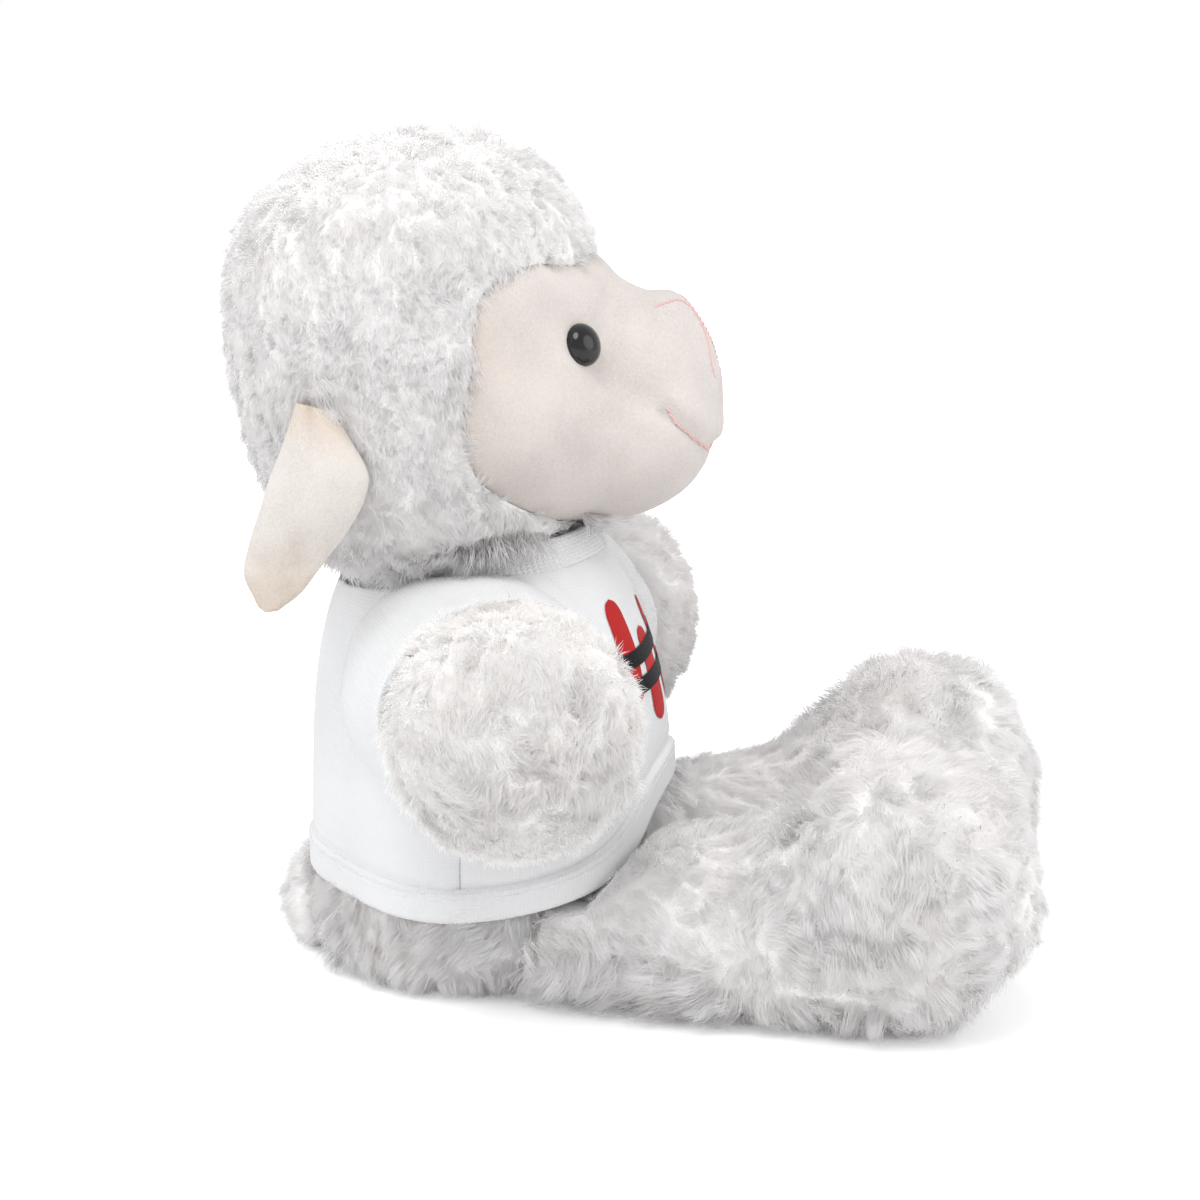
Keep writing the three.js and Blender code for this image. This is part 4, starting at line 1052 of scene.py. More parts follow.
def face_held(p):
    """Where the face panel is held: at the hood, the eyes and the stitches."""
    eyes = [on_face(side * EYE_TURN, EYE_BACK) for side in SIDES.values()]
    seams = np.concatenate([mouth[0][::4], *(path[::4] for path, _ in noses)])
    at_hood = np.where(in_head(p, 1.0), 1.0, np.where(in_head(p, 4.0), 0.6, 0.0))
    return np.maximum.reduce([at_hood, near(p, eyes, EYE_RADIUS - 0.3, EYE_RADIUS + 2), near(p, seams, 1.2, 3.0)])


def bell(points, places, width):
    """1 on a chain of places, falling to 0 beside it."""
    return np.exp(-((gap_to(points, places) / width) ** 2))


# The brow's border: its middle, how far it reaches, how far the face rises there, and how far the fur keeps off
BROW, BROW_REACH, BROW_RISE, BROW_BARE = at(0, -16, 172), [34, 11, 12], 4.5, 5.2


def over_brow(p):
    """How near a point is to the brow's border, from 0 to 1."""
    return np.exp(-(((p - BROW) / BROW_REACH) ** 2).sum(1))


def browed(obj):
    """Carries the face panel's border higher over the brow."""
    p = vertices_of(obj.data) / MM
    raised = BROW_RISE * over_brow(p)
    return moved_to(obj, (p + normals_of(obj.data) * raised[:, None]) * MM)


def sculpted(obj):
    """Draws the face in beside the eyes and along the mouth, and lifts it over the mouth and round the eyes."""
    p = vertices_of(obj.data) / MM
    out = -1.2 * np.maximum(bell(p, creases[0][0], 2.8), bell(p, creases[1][0], 2.8)) - 1.3 * bell(p, mouth[0], 1.6)
    out = out + 0.9 * bell(p, mouth[0][10:-10] + [0, 0, 4.5], 3.2)
    for side in SIDES.values():
        eye_place = on_face(side * EYE_TURN, EYE_BACK)
        lid = bell(p, [eye_place], 8.0) * (1 - bell(p, [eye_place], 4.4)) * 3.4
        from_eye = p - eye_place
        toward = unit(from_eye) @ unit(at(0, -0.8, -0.7))
        out = out + lid * np.clip(toward, 0, 1) ** 1.5
    return moved_to(obj, (p + normals_of(obj.data) * out[:, None]) * MM)


# Plush skins

ARM_RANGE, LEG_RANGE = (-8, 20), (-4, 14)
BELOW = slab("below", -400, 0)


def swept_cut(obj, make, pivot, axis, low, high):
    """Cuts from a limb the space that its neighbour takes while the limb turns."""
    steps = 3
    for i in range(steps + 1):
        cutter = make()
        angle = math.radians(-(low + (high - low) * i / steps))
        turn_matrix = rotation_about(pivot, axis, angle)
        cutter.data.transform(turn_matrix)
        joined(obj, cutter)
    return obj


def rotation_about(pivot, axis, angle):
    pivot = Vector(pivot)
    return Matrix.Translation(pivot) @ Matrix.Rotation(angle, 4, Vector(axis)) @ Matrix.Translation(-pivot)


def neck_solid(grow):
    rows = [
        [0, -NECK_RADIUS],
        [NECK_RADIUS + grow, -NECK_RADIUS],
        [NECK_RADIUS + grow, NECK_RISE * 0.3 + grow],
        [NECK_RADIUS * 0.8 + grow, NECK_RISE * 0.8 + grow],
        [0, NECK_RISE + grow],
    ]
    return lathe("neck", rows, NECK_BASE, NECK_AXIS, 48)


def torso_solid(name, grow, sides=96):
    obj = form(name, "torso", grow, sides)
    top = NECK_BASE + NECK_AXIS * (grow - SHOULDER_DROP)
    above = lathe("above", [[0, 0], [90, 0], [90, 90], [0, 90]], top, NECK_AXIS, 24)
    joined(obj, above)
    return joined(obj, neck_solid(grow), "UNION")


def shirt_space(grow):
    angle = round_angles(72)
    top, bottom = neck_edge(angle) + 3, hem_edge(angle) - 1.6
    widest = lambda a, u: 1.2 + 0 * a
    rings = [shirt_point(angle, top + (bottom - top) * s, grow, widest) for s in np.linspace(0, 1, 14)]
    return shape("shirt_space", rings, rings[0].mean(0), rings[-1].mean(0), 1)


def neck_dish():
    rows = [[0, -60], [70, -60], [70, -25], [44, -9], [31, 4.2], [20.6, 4.2], [0, 4.6]]
    return lathe("dish", rows, NECK_BASE, NECK_AXIS, 64)


torso = torso_solid("torso_plush", 0)
joined(torso, BELOW, keep=True)
inner = torso_solid("inner", -SKIN, 32)
joined(inner, slab("lower", -400, SKIN))
joined(torso, inner)
sharp_edges(torso)
dressed(torso, "torso", "torso_skin", look=BACKING, slot="fur")

hood = form("head_plush", "head", 0, 128)
joined(hood, form("inner", "head", -SKIN, 32))
joined(hood, browed(form("opening", "face", CLEARANCE, 144)))
joined(hood, neck_dish())
sharp_edges(hood)
dressed(hood, "head", "head_hood", look=BACKING, slot="fur")

face = browed(form("face_velour", "face", 0, 144))
simulated(face, face_held, most=1.5, pressure=60.0)
sculpted(face)
joined(face, form("inner", "face", -SKIN, 32))
joined(face, form("inside_head", "head", -SKIN, 64))
joined(face, neck_dish())
sharp_edges(face)
dressed(face, "head", "face_panel", look=FACE_VELOUR, slot="short_pile")

for name, side in SIDES.items():
    shoulder = arm_axes(side)[0] * MM
    arm = form(f"arm_plush_{name}", "arm", 0, 96, side)
    swept_cut(arm, lambda: torso_solid("space", CLEARANCE + COARSE, 48), shoulder, (0, -side, 0), *ARM_RANGE)
    joined(arm, form("inner", "arm", -SKIN, 32, side))
    sharp_edges(arm)
    dressed(arm, f"arm_{name}", f"arm_skin_{name}", look=BACKING, slot="fur")

    hip = np.array([side * HIP_SIDE, HIP_SETBACK, LEG_RADIUS]) * MM
    leg = form(f"leg_plush_{name}", "leg", 0, 96, side)
    swept_cut(leg, lambda: torso_solid("space", CLEARANCE + COARSE, 48), hip, (0, 0, side), *LEG_RANGE)
    hem_space = EASE + CLOTH * HEM_LAYERS + 2 * CLEARANCE + COARSE
    swept_cut(leg, lambda: shirt_space(hem_space), hip, (0, 0, side), *LEG_RANGE)
    joined(leg, BELOW, keep=True)
    inner = form("inner", "leg", -SKIN, 32, side)
    joined(inner, slab("lower", -400, SKIN))
    joined(leg, inner)
    sharp_edges(leg)
    dressed(leg, f"leg_{name}", f"leg_skin_{name}", look=BACKING, slot="fur")

tail = form("tail_plush", "tail", 0, 64)
joined(tail, BELOW, keep=True)
joined(tail, torso_solid("space", CLEARANCE + COARSE + 1.2, 48))
joined(tail, shirt_space(EASE + CLOTH * HEM_LAYERS + 1.0))
sharp_edges(tail)
dressed(tail, "tail", "tail", look=BACKING, slot="fur")
bpy.data.objects.remove(BELOW)


# Fleece: tufts of fibres as mesh blades


def sampled(grid, count, rng):
    """Points and normals spread evenly over a grid that closes round its second direction."""
    normals = grid_normals(grid)
    nxt, nxt_n = np.roll(grid, -1, 1), np.roll(normals, -1, 1)
    a, b, c, d = grid[:-1], nxt[:-1], nxt[1:], grid[1:]
    area = np.linalg.norm(np.cross(c - a, d - b), axis=-1)
    flat = area.reshape(-1)
    pick = rng.choice(len(flat), count, p=flat / flat.sum())
    i, j = np.divmod(pick, grid.shape[1])
    u, v = rng.random((2, count, 1))
    mix = lambda q, r: (q[i, j] * (1 - u) + r[i, j] * u) * (1 - v) + (q[i + 1, j] * (1 - u) + r[i + 1, j] * u) * v
    return mix(grid, nxt), unit(mix(normals, nxt_n))


def nearest(points, centres):
    tree = kdtree.KDTree(len(centres))
    for i, c in enumerate(centres):
        tree.insert(c, i)
    tree.balance()
    return np.array([tree.find(p)[1] for p in points])


def tufts_of(points, spacing, rng, area_each):
    """Evenly spread tuft centres, and each point's tuft."""
    count = max(8, int(len(points) * area_each / spacing**2))
    centres = points[rng.choice(len(points), count, replace=False)]
    for _ in range(2):
        owner = nearest(points, centres)
        total = np.zeros_like(centres)
        np.add.at(total, owner, points)
        number = np.bincount(owner, minlength=count)[:, None]
        centres = np.where(number > 0, total / np.maximum(number, 1), centres)
    return centres, nearest(points, centres)


def fleece(name, body, grid, density, look, *, flow, hidden, blocked, seed, lumps, length, lean, spacing, locks,
           gather, wild, curl=0.5, width=0.22, unruly=0.6, longer=None, painted_shade=None):
    """Covers a grid with tufts of tapering fibres, in larger locks that lie their own way.

    Lengths are in millimetres, and density is in fibres per square one. The fibres lean by lean radians towards flow,
    none grows where hidden says so, and those that reach what blocked says are shorter or left out.
    """
    rng = np.random.default_rng(seed)
    grid = lumpy(grid, *lumps)
    down = np.gradient(grid, axis=0)
    ahead = np.roll(grid, -1, 1) - grid
    area = np.linalg.norm(np.cross(down, ahead), axis=-1).sum()
    points, normals = sampled(grid, int(area * density), rng)
    open_here = ~hidden(points) & (points[:, 2] > -0.2)
    points, normals = points[open_here], normals[open_here]
    centres, owner = tufts_of(points, spacing, rng, 1 / density)
    _, lock = tufts_of(centres, locks, rng, spacing**2)
    k, n, m = len(centres), len(points), lock.max() + 1
    total = np.zeros((k, 3))
    np.add.at(total, owner, normals)
    centre_normals = unit(total + 1e-9)
    lock_way = rng.normal(0, unruly, (m, 3))[lock]
    lock_lean = rng.uniform(-0.2, 0.2, m)[lock]
    lock_length = rng.uniform(0.8, 1.25, m)[lock]
    lock_light = rng.uniform(0, 1, m)[lock]

    def directions(p, nrm, random, tilt):
        f = flow(p) + random
        f = unit(f - (f * nrm).sum(-1, keepdims=True) * nrm)
        return unit(nrm * np.cos(tilt)[:, None] + f * np.sin(tilt)[:, None])

    tilt = np.clip(rng.normal(lean, 0.14, k) + lock_lean, 0.1, 1.45)
    tuft_way = directions(centres, centre_normals, lock_way + rng.normal(0, wild, (k, 3)), tilt)
    tuft_length = length * rng.uniform(0.8, 1.15, k) * lock_length
    if longer is not None:
        tuft_length = tuft_length * longer(centres)
    tuft_tip = centres + tuft_way * tuft_length[:, None]
    sideways = unit(np.cross(tuft_way, rng.normal(0, 1, (k, 3))))
    tuft_curl = sideways * (curl * tuft_length * rng.uniform(0.1, 0.4, k))[:, None]
    tuft_middle = (centres + tuft_tip) / 2 + centre_normals * (0.12 * tuft_length)[:, None] + tuft_curl

    own_tilt = np.clip(tilt[owner] + rng.normal(0, 0.25, n), 0.05, 1.5)
    way = directions(points, normals, lock_way[owner] + rng.normal(0, wild * 1.2, (n, 3)), own_tilt)
    own_length = (tuft_length[owner] * rng.uniform(0.65, 1.05, n))[:, None]
    tip = points + way * own_length
    middle = (points + tip) / 2 + normals * own_length * 0.12 + rng.normal(0, 0.15, (n, 3))
    share = (gather * rng.uniform(0.6, 1.25, n)).clip(0, 0.95)[:, None]
    tip = tip * (1 - share) + tuft_tip[owner] * share
    middle = middle * (1 - share * 0.6) + tuft_middle[owner] * share * 0.6
    root = points - normals * 0.5
    clear = ~(blocked(tip) | blocked(middle))
    short = ~clear
    tip = np.where(short[:, None], points + (tip - points) * 0.5 + normals * 0.3, tip)
    middle = np.where(short[:, None], (points + tip) / 2, middle)
    keep = clear | ~(blocked(tip) | blocked(middle))
    root, middle, tip, normals, owner, points = (v[keep] for v in (root, middle, tip, normals, owner, points))
    n = len(root)
    lowest = rng.uniform(0.15, 0.9, (n, 1))
    for v in (middle, tip, root):
        v[:, 2:] = np.where(v[:, 2:] < lowest, lowest, v[:, 2:])

    along = unit(tip - root)
    across = unit(np.cross(along, normals) + rng.normal(0, 0.2, (n, 3)))
    across = unit(across - (across * along).sum(-1, keepdims=True) * along)
    facing = (np.cross(across, along) * normals).sum(-1, keepdims=True)
    across = across * np.where(facing < 0, -1, 1)
    half = across * (width / 2 * rng.uniform(0.7, 1.3, (n, 1)))
    blade = np.stack([root - half, root + half, middle + half * 0.85, middle - half * 0.85, tip], 1)

    side_of = points - centres[owner]
    side_of = side_of - (side_of * normals).sum(-1, keepdims=True) * normals
    rounded = side_of / spacing * 0.6
    shade = np.stack([unit(normals + rounded * s) for s in (0.2, 0.2, 0.5, 0.5, 0.7)], 1)
    # Painted shade: the tops of the tufts lighter and the valleys between them darker, with random tone per lock and
    # per tuft
    height = swelling(points - normals * (lumps[0] / 2 - lumps[3]), lumps[1], lumps[2])
    light = 0.08 + 0.6 * height + 0.18 * lock_light[owner] + 0.14 * rng.random(k)[owner]
    # Painted shade darkens the fibres in creases, such as the one across a hand
    if painted_shade is not None:
        light = light * (1 - painted_shade(points))

    mesh = bpy.data.meshes.new(name)
    mesh.vertices.add(5 * n)
    mesh.vertices.foreach_set("co", (blade * MM).astype(np.float32).reshape(-1))
    mesh.loops.add(7 * n)
    first = 5 * np.arange(n)[:, None]
    corners = (first + np.array([0, 1, 2, 3, 3, 2, 4])).astype(np.int32)
    mesh.loops.foreach_set("vertex_index", corners.reshape(-1))
    mesh.polygons.add(2 * n)
    starts = (7 * np.arange(n)[:, None] + np.array([0, 4])).astype(np.int32)
    mesh.polygons.foreach_set("loop_start", starts.reshape(-1))
    mesh.polygons.foreach_set("use_smooth", np.ones(2 * n, bool))
    mesh.update(calc_edges=True)
    layer = mesh.uv_layers.new(name="OFBake")
    u = light.clip(0.02, 0.98)[:, None] + np.array([-1, 1, 1, -1, -1, 1, 0]) * 0.012
    v = np.broadcast_to([0.02, 0.02, 0.5, 0.5, 0.5, 0.5, 0.98], (n, 7))
    layer.data.foreach_set("uv", np.stack([u, v], -1).astype(np.float32).reshape(-1))
    mesh.normals_split_custom_set_from_vertices(shade.reshape(-1, 3))
    return dressed(linked(name, mesh), body, look=look, slot="fur")


THIN = 1.0
head_grid = surface(head_point, 0, np.linspace(0.02, 0.985, 90), 160)


def with_dome(grid, pole, steps=8):
    """The grid with rings that close its last end."""
    middle = grid[-1].mean(0)
    turns = np.linspace(0, math.pi / 2, steps + 1)[1:]
    domes = [middle + (grid[-1] - middle) * max(math.cos(q), 0.01) + (pole - middle) * math.sin(q) for q in turns]
    return np.concatenate([grid, np.array(domes)])


def domed(grid, start, end):
    return with_dome(with_dome(grid, end)[::-1], start)[::-1]


def head_flow(p):
    """Down, but over the face at its border, and out over the collar under the head."""
    from_face = (p - at(0, 0, MUZZLE_RISE + 4)) * np.array([1, 0, 1])
    from_neck = (p - NECK_BASE) * np.array([1, 1, 0])
    beside = in_face(p, 3.0)[:, None] * 1.0
    under = smooth(p[:, 2:], HEAD_BASE + 14, HEAD_BASE + 4)
    return at(0, 0.15, -1) * (1 - 0.5 * beside) - 0.35 * unit(from_face) * beside + 1.0 * unit(from_neck) * under


EAR_ROOTS = {}
for joint in frame["joints"]:
    if joint["name"].startswith("ear_lift"):
        EAR_ROOTS[SIDES[joint["name"].split("_")[-1]]] = np.array(joint["pos_m"]) * 1000


def above_ears(p):
    """How near a point is to the fur that falls over an ear's root, from 0 to 1."""
    places = [root + at(0, 0, 4) for root in EAR_ROOTS.values()]
    return bell(p, places, 6.5)


fleece(
    "head_fleece", "head", with_dome(head_grid, at(0, -49.4, 195)), 5.2 * THIN, CURLY,
    flow=head_flow,
    hidden=lambda p: in_face(p, 0.1 + BROW_BARE * over_brow(p)) | in_neckband(p, 0.3),
    blocked=lambda p: in_face(p, -0.5) | in_neckband(p, 0.0),
    seed=11, lumps=LUMPS["head"], length=4.0, lean=1.2, spacing=2.7, locks=7, gather=0.47, wild=0.32, curl=0.85,
    unruly=0.36,
    longer=lambda p: 1 + 0.9 * smooth(p[:, 2], HEAD_BASE + 12, HEAD_BASE + 3) + 0.25 * in_face(p, 3.0)
    + 1.1 * above_ears(p) - 0.35 * np.exp(-(((p - BROW) / 20) ** 2).sum(1)),
)


def collar_flow(p):
    """Out from the neck and down."""
    return unit((p - NECK_BASE) * np.array([1, 1, 0])) + at(0, 0, -1.0)


collar_grid = ring_grid(lambda a, s: neck_point(a, 29.2 + 3.6 * s, 5.6 + 2.4 * s), np.linspace(0, 1, 9), 200)
fleece(
    "collar_fleece", "head", collar_grid, 12.0 * THIN, CURLY,
    flow=collar_flow,
    hidden=lambda p: ~(in_head(p, 2.0) | in_face(p, 1.0)),
    blocked=lambda p: in_neckband(p, 0.1) | in_shirt(p, 0.3),
    seed=12, lumps=(0.4, 5.2, 1, 0), length=7.6, lean=0.6, spacing=3.0, locks=7, gather=0.4, wild=0.4, curl=0.6,
)


def hand_crease(p, side):
    """How near a point is to the crease across the hand, from 0 to 1."""
    shoulder, along, across = arm_axes(side)
    d = p - shoulder
    ahead = d @ across
    lying = smooth(ahead, -11, -5) * smooth(ahead, 20, 14) * smooth(d @ along, ARM_LENGTH - 16, ARM_LENGTH - 10)
    return lying * np.exp(-(((d[..., 2] + 2.2 + 0.7 * np.sin(ahead / 4)) / 1.5) ** 2))


def leg_lean(p):
    """How far forward a leg's fur lies: away from the hem above it, and over the torso below it."""
    ahead, up = -p[:, 1], p[:, 2]
    return 0.25 + 1.2 * smooth(ahead, 50, 25) * smooth(up, 14, 24) - 1.3 * smooth(ahead, 40, 18) * smooth(up, 20, 12)


def leg_longer(p):
    """How long a leg's fur is: shorter under the hem and on the sole, longer below the thigh."""
    ahead, up = -p[:, 1], p[:, 2]
    out = 1 - 0.35 * smooth(ahead, 44, 26) * smooth(up, 16, 24) - 0.4 * smooth(ahead, 78, 92)
    return out + 0.3 * smooth(ahead, 34, 12) * smooth(up, 24, 14)


for name, side in SIDES.items():
    hip, leg_along, _ = leg_axes(side)
    grid = leg_grid(side, 0, 140)
    ends = ((0.0, -5), (1.0, LEG_LENGTH))
    root, tip = (hip + leg_along * d + np.array([0, 0, 1]) * leg_section(s, 0)[2] for s, d in ends)
    fleece(
        f"leg_fleece_{name}", f"leg_{name}", domed(grid, root, tip), 4.2 * THIN, SHAGGY,
        flow=lambda p, side=side: at(side * 0.1, leg_lean(p), -0.8),
        hidden=lambda p: in_torso(p, 1.0) | in_shirt(p, 1.0),
        blocked=lambda p: in_torso(p, 0.0) | in_shirt(p, 4.0, 1.5),
        seed=21 + side, lumps=LUMPS["leg"], length=8.6, lean=1.18, spacing=4.2, locks=11, gather=0.52, wild=0.42,
        unruly=0.5, width=0.2, longer=leg_longer,
    )
    shoulder, along, across = arm_axes(side)
    grid = arm_grid(side, 0, 120)
    tip = arm_point(side, 0, ARM_LENGTH, 0)
    fleece(
        f"arm_fleece_{name}", f"arm_{name}", with_dome(grid, tip), 4.8 * THIN, BRUSHED,
        flow=lambda p, along=along: 0.7 * along + at(0, 0, -0.5) + 0 * p,
        hidden=lambda p, shoulder=shoulder, along=along: (p - shoulder) @ along < SLEEVE_LENGTH - 6,
        blocked=lambda p: in_shirt(p, 0.6) | in_torso(p, 0.5),
        seed=31 + side, lumps=LUMPS["arm"], length=5.0, lean=1.2, spacing=3.4, locks=8, gather=0.32, wild=0.28,
        unruly=0.35,
        longer=lambda p, side=side, shoulder=shoulder, along=along: (
            1 - 0.5 * hand_crease(p, side) + 0.35 * smooth((p - shoulder) @ along, SLEEVE_LENGTH + 4, SLEEVE_LENGTH)),
        # The crease across the hand is darkened with painted shade
        painted_shade=lambda p, side=side: hand_crease(p, side),
    )

torso_grid = surface(torso_point, 0, np.linspace(0, 50, 40), 160)
under_hem = lambda p: p[:, 2] > hem_edge(np.arctan2(p[:, 0], -p[:, 1] + TORSO_SETBACK)) + 3
fleece(
    "torso_fleece", "torso", torso_grid, 4.0 * THIN, SHAGGY,
    flow=lambda p: at(0, -0.2 + 1.2 * smooth(-p[:, 1], -25, -5), -1),
    hidden=lambda p: under_hem(p) | in_leg(p, -1, 0.5) | in_leg(p, 1, 0.5),
    blocked=lambda p: in_leg(p, -1, -1.0) | in_leg(p, 1, -1.0) | (in_shirt(p, 0.0) & ~in_torso(p, EASE)),
    seed=41, lumps=(1.2, 9.5, 4, 1.2), length=9.0, lean=0.95, spacing=4.2, locks=11, gather=0.55, wild=0.42,
    unruly=0.5,
)
tail_grid = surface(tail_point, 0, np.linspace(0, 0.88, 24), 80)
fleece(
    "tail_fleece", "tail", with_dome(tail_grid, at(0, -TAIL_BACK - TAIL_LENGTH, 11)), 4.2 * THIN, SHAGGY,
    flow=lambda p: np.broadcast_to(at(0, -0.8, -0.4), p.shape),
    hidden=lambda p: in_torso(p, 1.5),
    blocked=lambda p: in_torso(p, 0.3) | in_shirt(p, 1.2, 1.0),
    seed=51, lumps=(1.2, 7.0, 5, 1.7), length=5.5, lean=1.0, spacing=4.0, locks=8, gather=0.5, wild=0.4, unruly=0.45,
)


# Ears


def ear_panel(side, seam, show):
    """The outer and inner grids of one ear panel, from the part's own shape."""
    down = unit(at(side * math.sin(EAR_SPLAY), -math.sin(EAR_LEAN), -math.cos(EAR_LEAN)))
    across = at(0, math.cos(EAR_LEAN), -math.sin(EAR_LEAN))
    out = unit(np.cross(down, across))
    if out[0] * side < 0:
        out = -out
    start = EAR_ROOTS[side] + out * (EAR_PANEL + 2 * CLEARANCE)

    def place(share, width, depth):
        half = ear_half(share) * EAR_WIDTH / 2
        round_tip = np.sqrt(np.clip(1 - np.clip((share - 0.86) / 0.14, 0, 1) ** 2, 0, 1))
        edge = width * width
        cup = EAR_CUP * np.sin(math.pi * np.minimum(share * 1.3, 1)) * (1 - edge)
        crease = -1.1 * np.exp(-(((width + 0.15) / 0.22) ** 2)) * smooth(share, 0.6, 0.1)
        thick = (show - seam) * depth * np.sqrt(np.clip(1 - edge * edge * 0.985, 0, 1))
        shift = ear_shift(share) * EAR_LENGTH
        flat = start + down * ((share - 0.08) * EAR_LENGTH)[..., None]
        flat = flat + across * (width * half * round_tip + shift)[..., None]
        return flat + out * (seam + thick + cup + crease)[..., None]

    share, width = np.meshgrid(np.linspace(0, 1, 60), np.linspace(-1, 1, 28), indexing="ij")
    return place(share, width, 1.0), place(share, width, 0.0)


def closed_pair(name, top, bottom):
    """The closed mesh between two grids."""
    r, n = top.shape[:2]
    index = np.arange(r * n).reshape(r, n)
    faces = []
    for i in range(r - 1):
        for j in range(n - 1):
            a, b, c, d = index[i, j], index[i, j + 1], index[i + 1, j + 1], index[i + 1, j]
            faces.append((int(a), int(b), int(c), int(d)))
            faces.append(tuple(int(v) + r * n for v in (d, c, b, a)))
    rim = list(index[0]) + list(index[1:, -1]) + list(index[-1, :-1][::-1]) + list(index[1:-1, 0][::-1])
    for a, b in zip(rim, rim[1:] + rim[:1]):
        faces.append((int(a), int(a) + r * n, int(b) + r * n, int(b)))
    return outward(mesh_object(name, np.concatenate([top.reshape(-1, 3), bottom.reshape(-1, 3)]), faces))


for name, side in SIDES.items():
    for panel, seam, show in (("front", 0.15, EAR_PANEL + 0.15), ("back", -0.15, -EAR_PANEL - 0.15)):
        ear = closed_pair(f"ear_{panel}_velour_{name}", *ear_panel(side, seam, show))
        sharp_edges(ear, 60)
        dressed(ear, f"ear_{name}", f"ear_{panel}_{name}", look=EAR_VELOUR, slot="short_pile")


# Eyes and stitched nose and mouth

for name, side in SIDES.items():
    turn_at = side * EYE_TURN
    point = on_face(turn_at, EYE_BACK)
    ahead = on_face(turn_at, EYE_BACK - 0.5) - on_face(turn_at, EYE_BACK + 0.5)
    around = on_face(turn_at + 0.05, EYE_BACK) - on_face(turn_at - 0.05, EYE_BACK)
    out = unit(np.cross(ahead, around))
    out = out * (-1 if out[0] * side < 0 else 1)
    out = unit(out + at(0, EYE_AHEAD, EYE_UP))
    rows = [[0, -3.2], [EYE_RADIUS - 0.5, -3.2], [EYE_RADIUS - 0.1, -2.9]]
    for i in range(13):
        q = i / 12 * math.pi / 2
        rows.append([EYE_RADIUS * math.cos(q) if i < 12 else 0, 0.3 + EYE_DOME * math.sin(q)])
    eye = lathe(f"eye_glass_{name}", rows, point, out, 48)
    sharp_edges(eye, 60)
    dressed(eye, "head", f"eye_{name}", look=EYE, slot="eye")


def stitches(name, chains, radius, length, body, look, slot, slant=0.0):
    """One mesh of short plump stitches along chains of (points, outward directions)."""
    profile = [(-1, 0.0), (-0.9, 0.5), (-0.6, 0.9), (0, 1.0), (0.6, 0.9), (0.9, 0.5), (1, 0.0)]
    sides = 8
    points, faces = [], []
    for path, outs in chains:
        step = np.linalg.norm(np.diff(path, axis=0), axis=1)
        s = np.concatenate([[0], np.cumsum(step)])
        count = max(1, int(s[-1] / (length * 0.92)))
        for i in range(count):
            c = s[-1] * (i + 0.5) / count
            place = [np.interp([c - length / 2, c, c + length / 2], s, path[:, k]) for k in range(3)]
            before, here, after = np.array(place).T
            out = unit(np.array([np.interp(c, s, outs[:, k]) for k in range(3)]))
            along = unit(after - before)
            side_way = np.cross(out, along)
            along = unit(along + side_way * slant)
            side_way = np.cross(out, along)
            first = len(points)
            for x, r in profile[1:-1]:
                middle = here + along * x * length / 2 + out * radius * (0.25 - 0.55 * x * x)
                for j in range(sides):
                    q = j / sides * 2 * math.pi
                    points.append(middle + (side_way * math.cos(q) + out * math.sin(q) * 0.8) * radius * r)
            rings = len(profile) - 2
            for a in range(rings - 1):
                for j in range(sides):
                    m = (j + 1) % sides
                    b = first + a * sides
                    faces.append((b + j, b + m, b + sides + m, b + sides + j))
            for end, ring, flip in ((-1, 0, True), (1, rings - 1, False)):
                tip_index = len(points)
                points.append(here + along * end * length / 2 - out * radius * 0.35)
                for j in range(sides):
                    m = (j + 1) % sides
                    b = first + ring * sides
                    faces.append((b + m, b + j, tip_index) if flip else (b + j, b + m, tip_index))
    return dressed(outward(mesh_object(name, points, faces)), body, look=look, slot=slot)


def laid_on(obj, chain):
    """The chain moved onto a piece's surface."""
    found = [obj.closest_point_on_mesh(Vector(p * MM)) for p in chain[0]]
    outs = np.array([[*hit[2]] for hit in found])
    return np.array([[*hit[1]] for hit in found]) / MM + outs * 0.05, outs


noses, mouth = [laid_on(face, chain) for chain in noses], laid_on(face, mouth)
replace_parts(stitches("nose_embroidery", noses, 0.32, 1.5, "head", PINK, "thread", 0.12), "nose_stitch")
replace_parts(stitches("mouth_embroidery", [mouth], 0.32, 1.5, "head", PINK, "thread", 0.12), "mouth_stitch")


# Shirt

# Folds of the jersey: depth, degrees from the front, height, width and tallness
WAVES = [(0.9, -70, 60, 16, 7), (0.7, 62, 64, 13, 9), (0.8, -25, 80, 12, 5), (0.7, 28, 82, 12, 5)]
WAVES += [(0.6, 150, 70, 14, 8)]
# Millimetres of cloth for each radian, that the knit and the print are laid out by
GIRTH, NECK_GIRTH, SLEEVE_GIRTH = 42, 27, 26


def drape(angle, up):
    """How far the jersey stands out in soft folds."""
    degrees = np.degrees(np.arctan2(np.sin(angle), np.cos(angle)))
    out = 0 * angle
    for depth, place, high, wide, tall in WAVES:
        slant = (degrees - place) + (up - high) * 0.6
        out = out + depth * np.exp(-((slant / wide) ** 2) - ((up - high) / (tall * 2.2)) ** 2)
    return out


def shirt_fold(angle, up):
    return fold_out(angle, up) + drape(angle, up)


TORSO_MIDDLE, SHOWN_CLOTH = at(0, -TORSO_SETBACK, TORSO_HEIGHT / 2), 1.2


def from_arm(side, p):
    """How far points lie along an arm, and away from its axis."""
    shoulder, along, across = arm_axes(side)
    d = p - shoulder
    return d @ along, np.sqrt((d @ across) ** 2 + d[..., 2] ** 2)


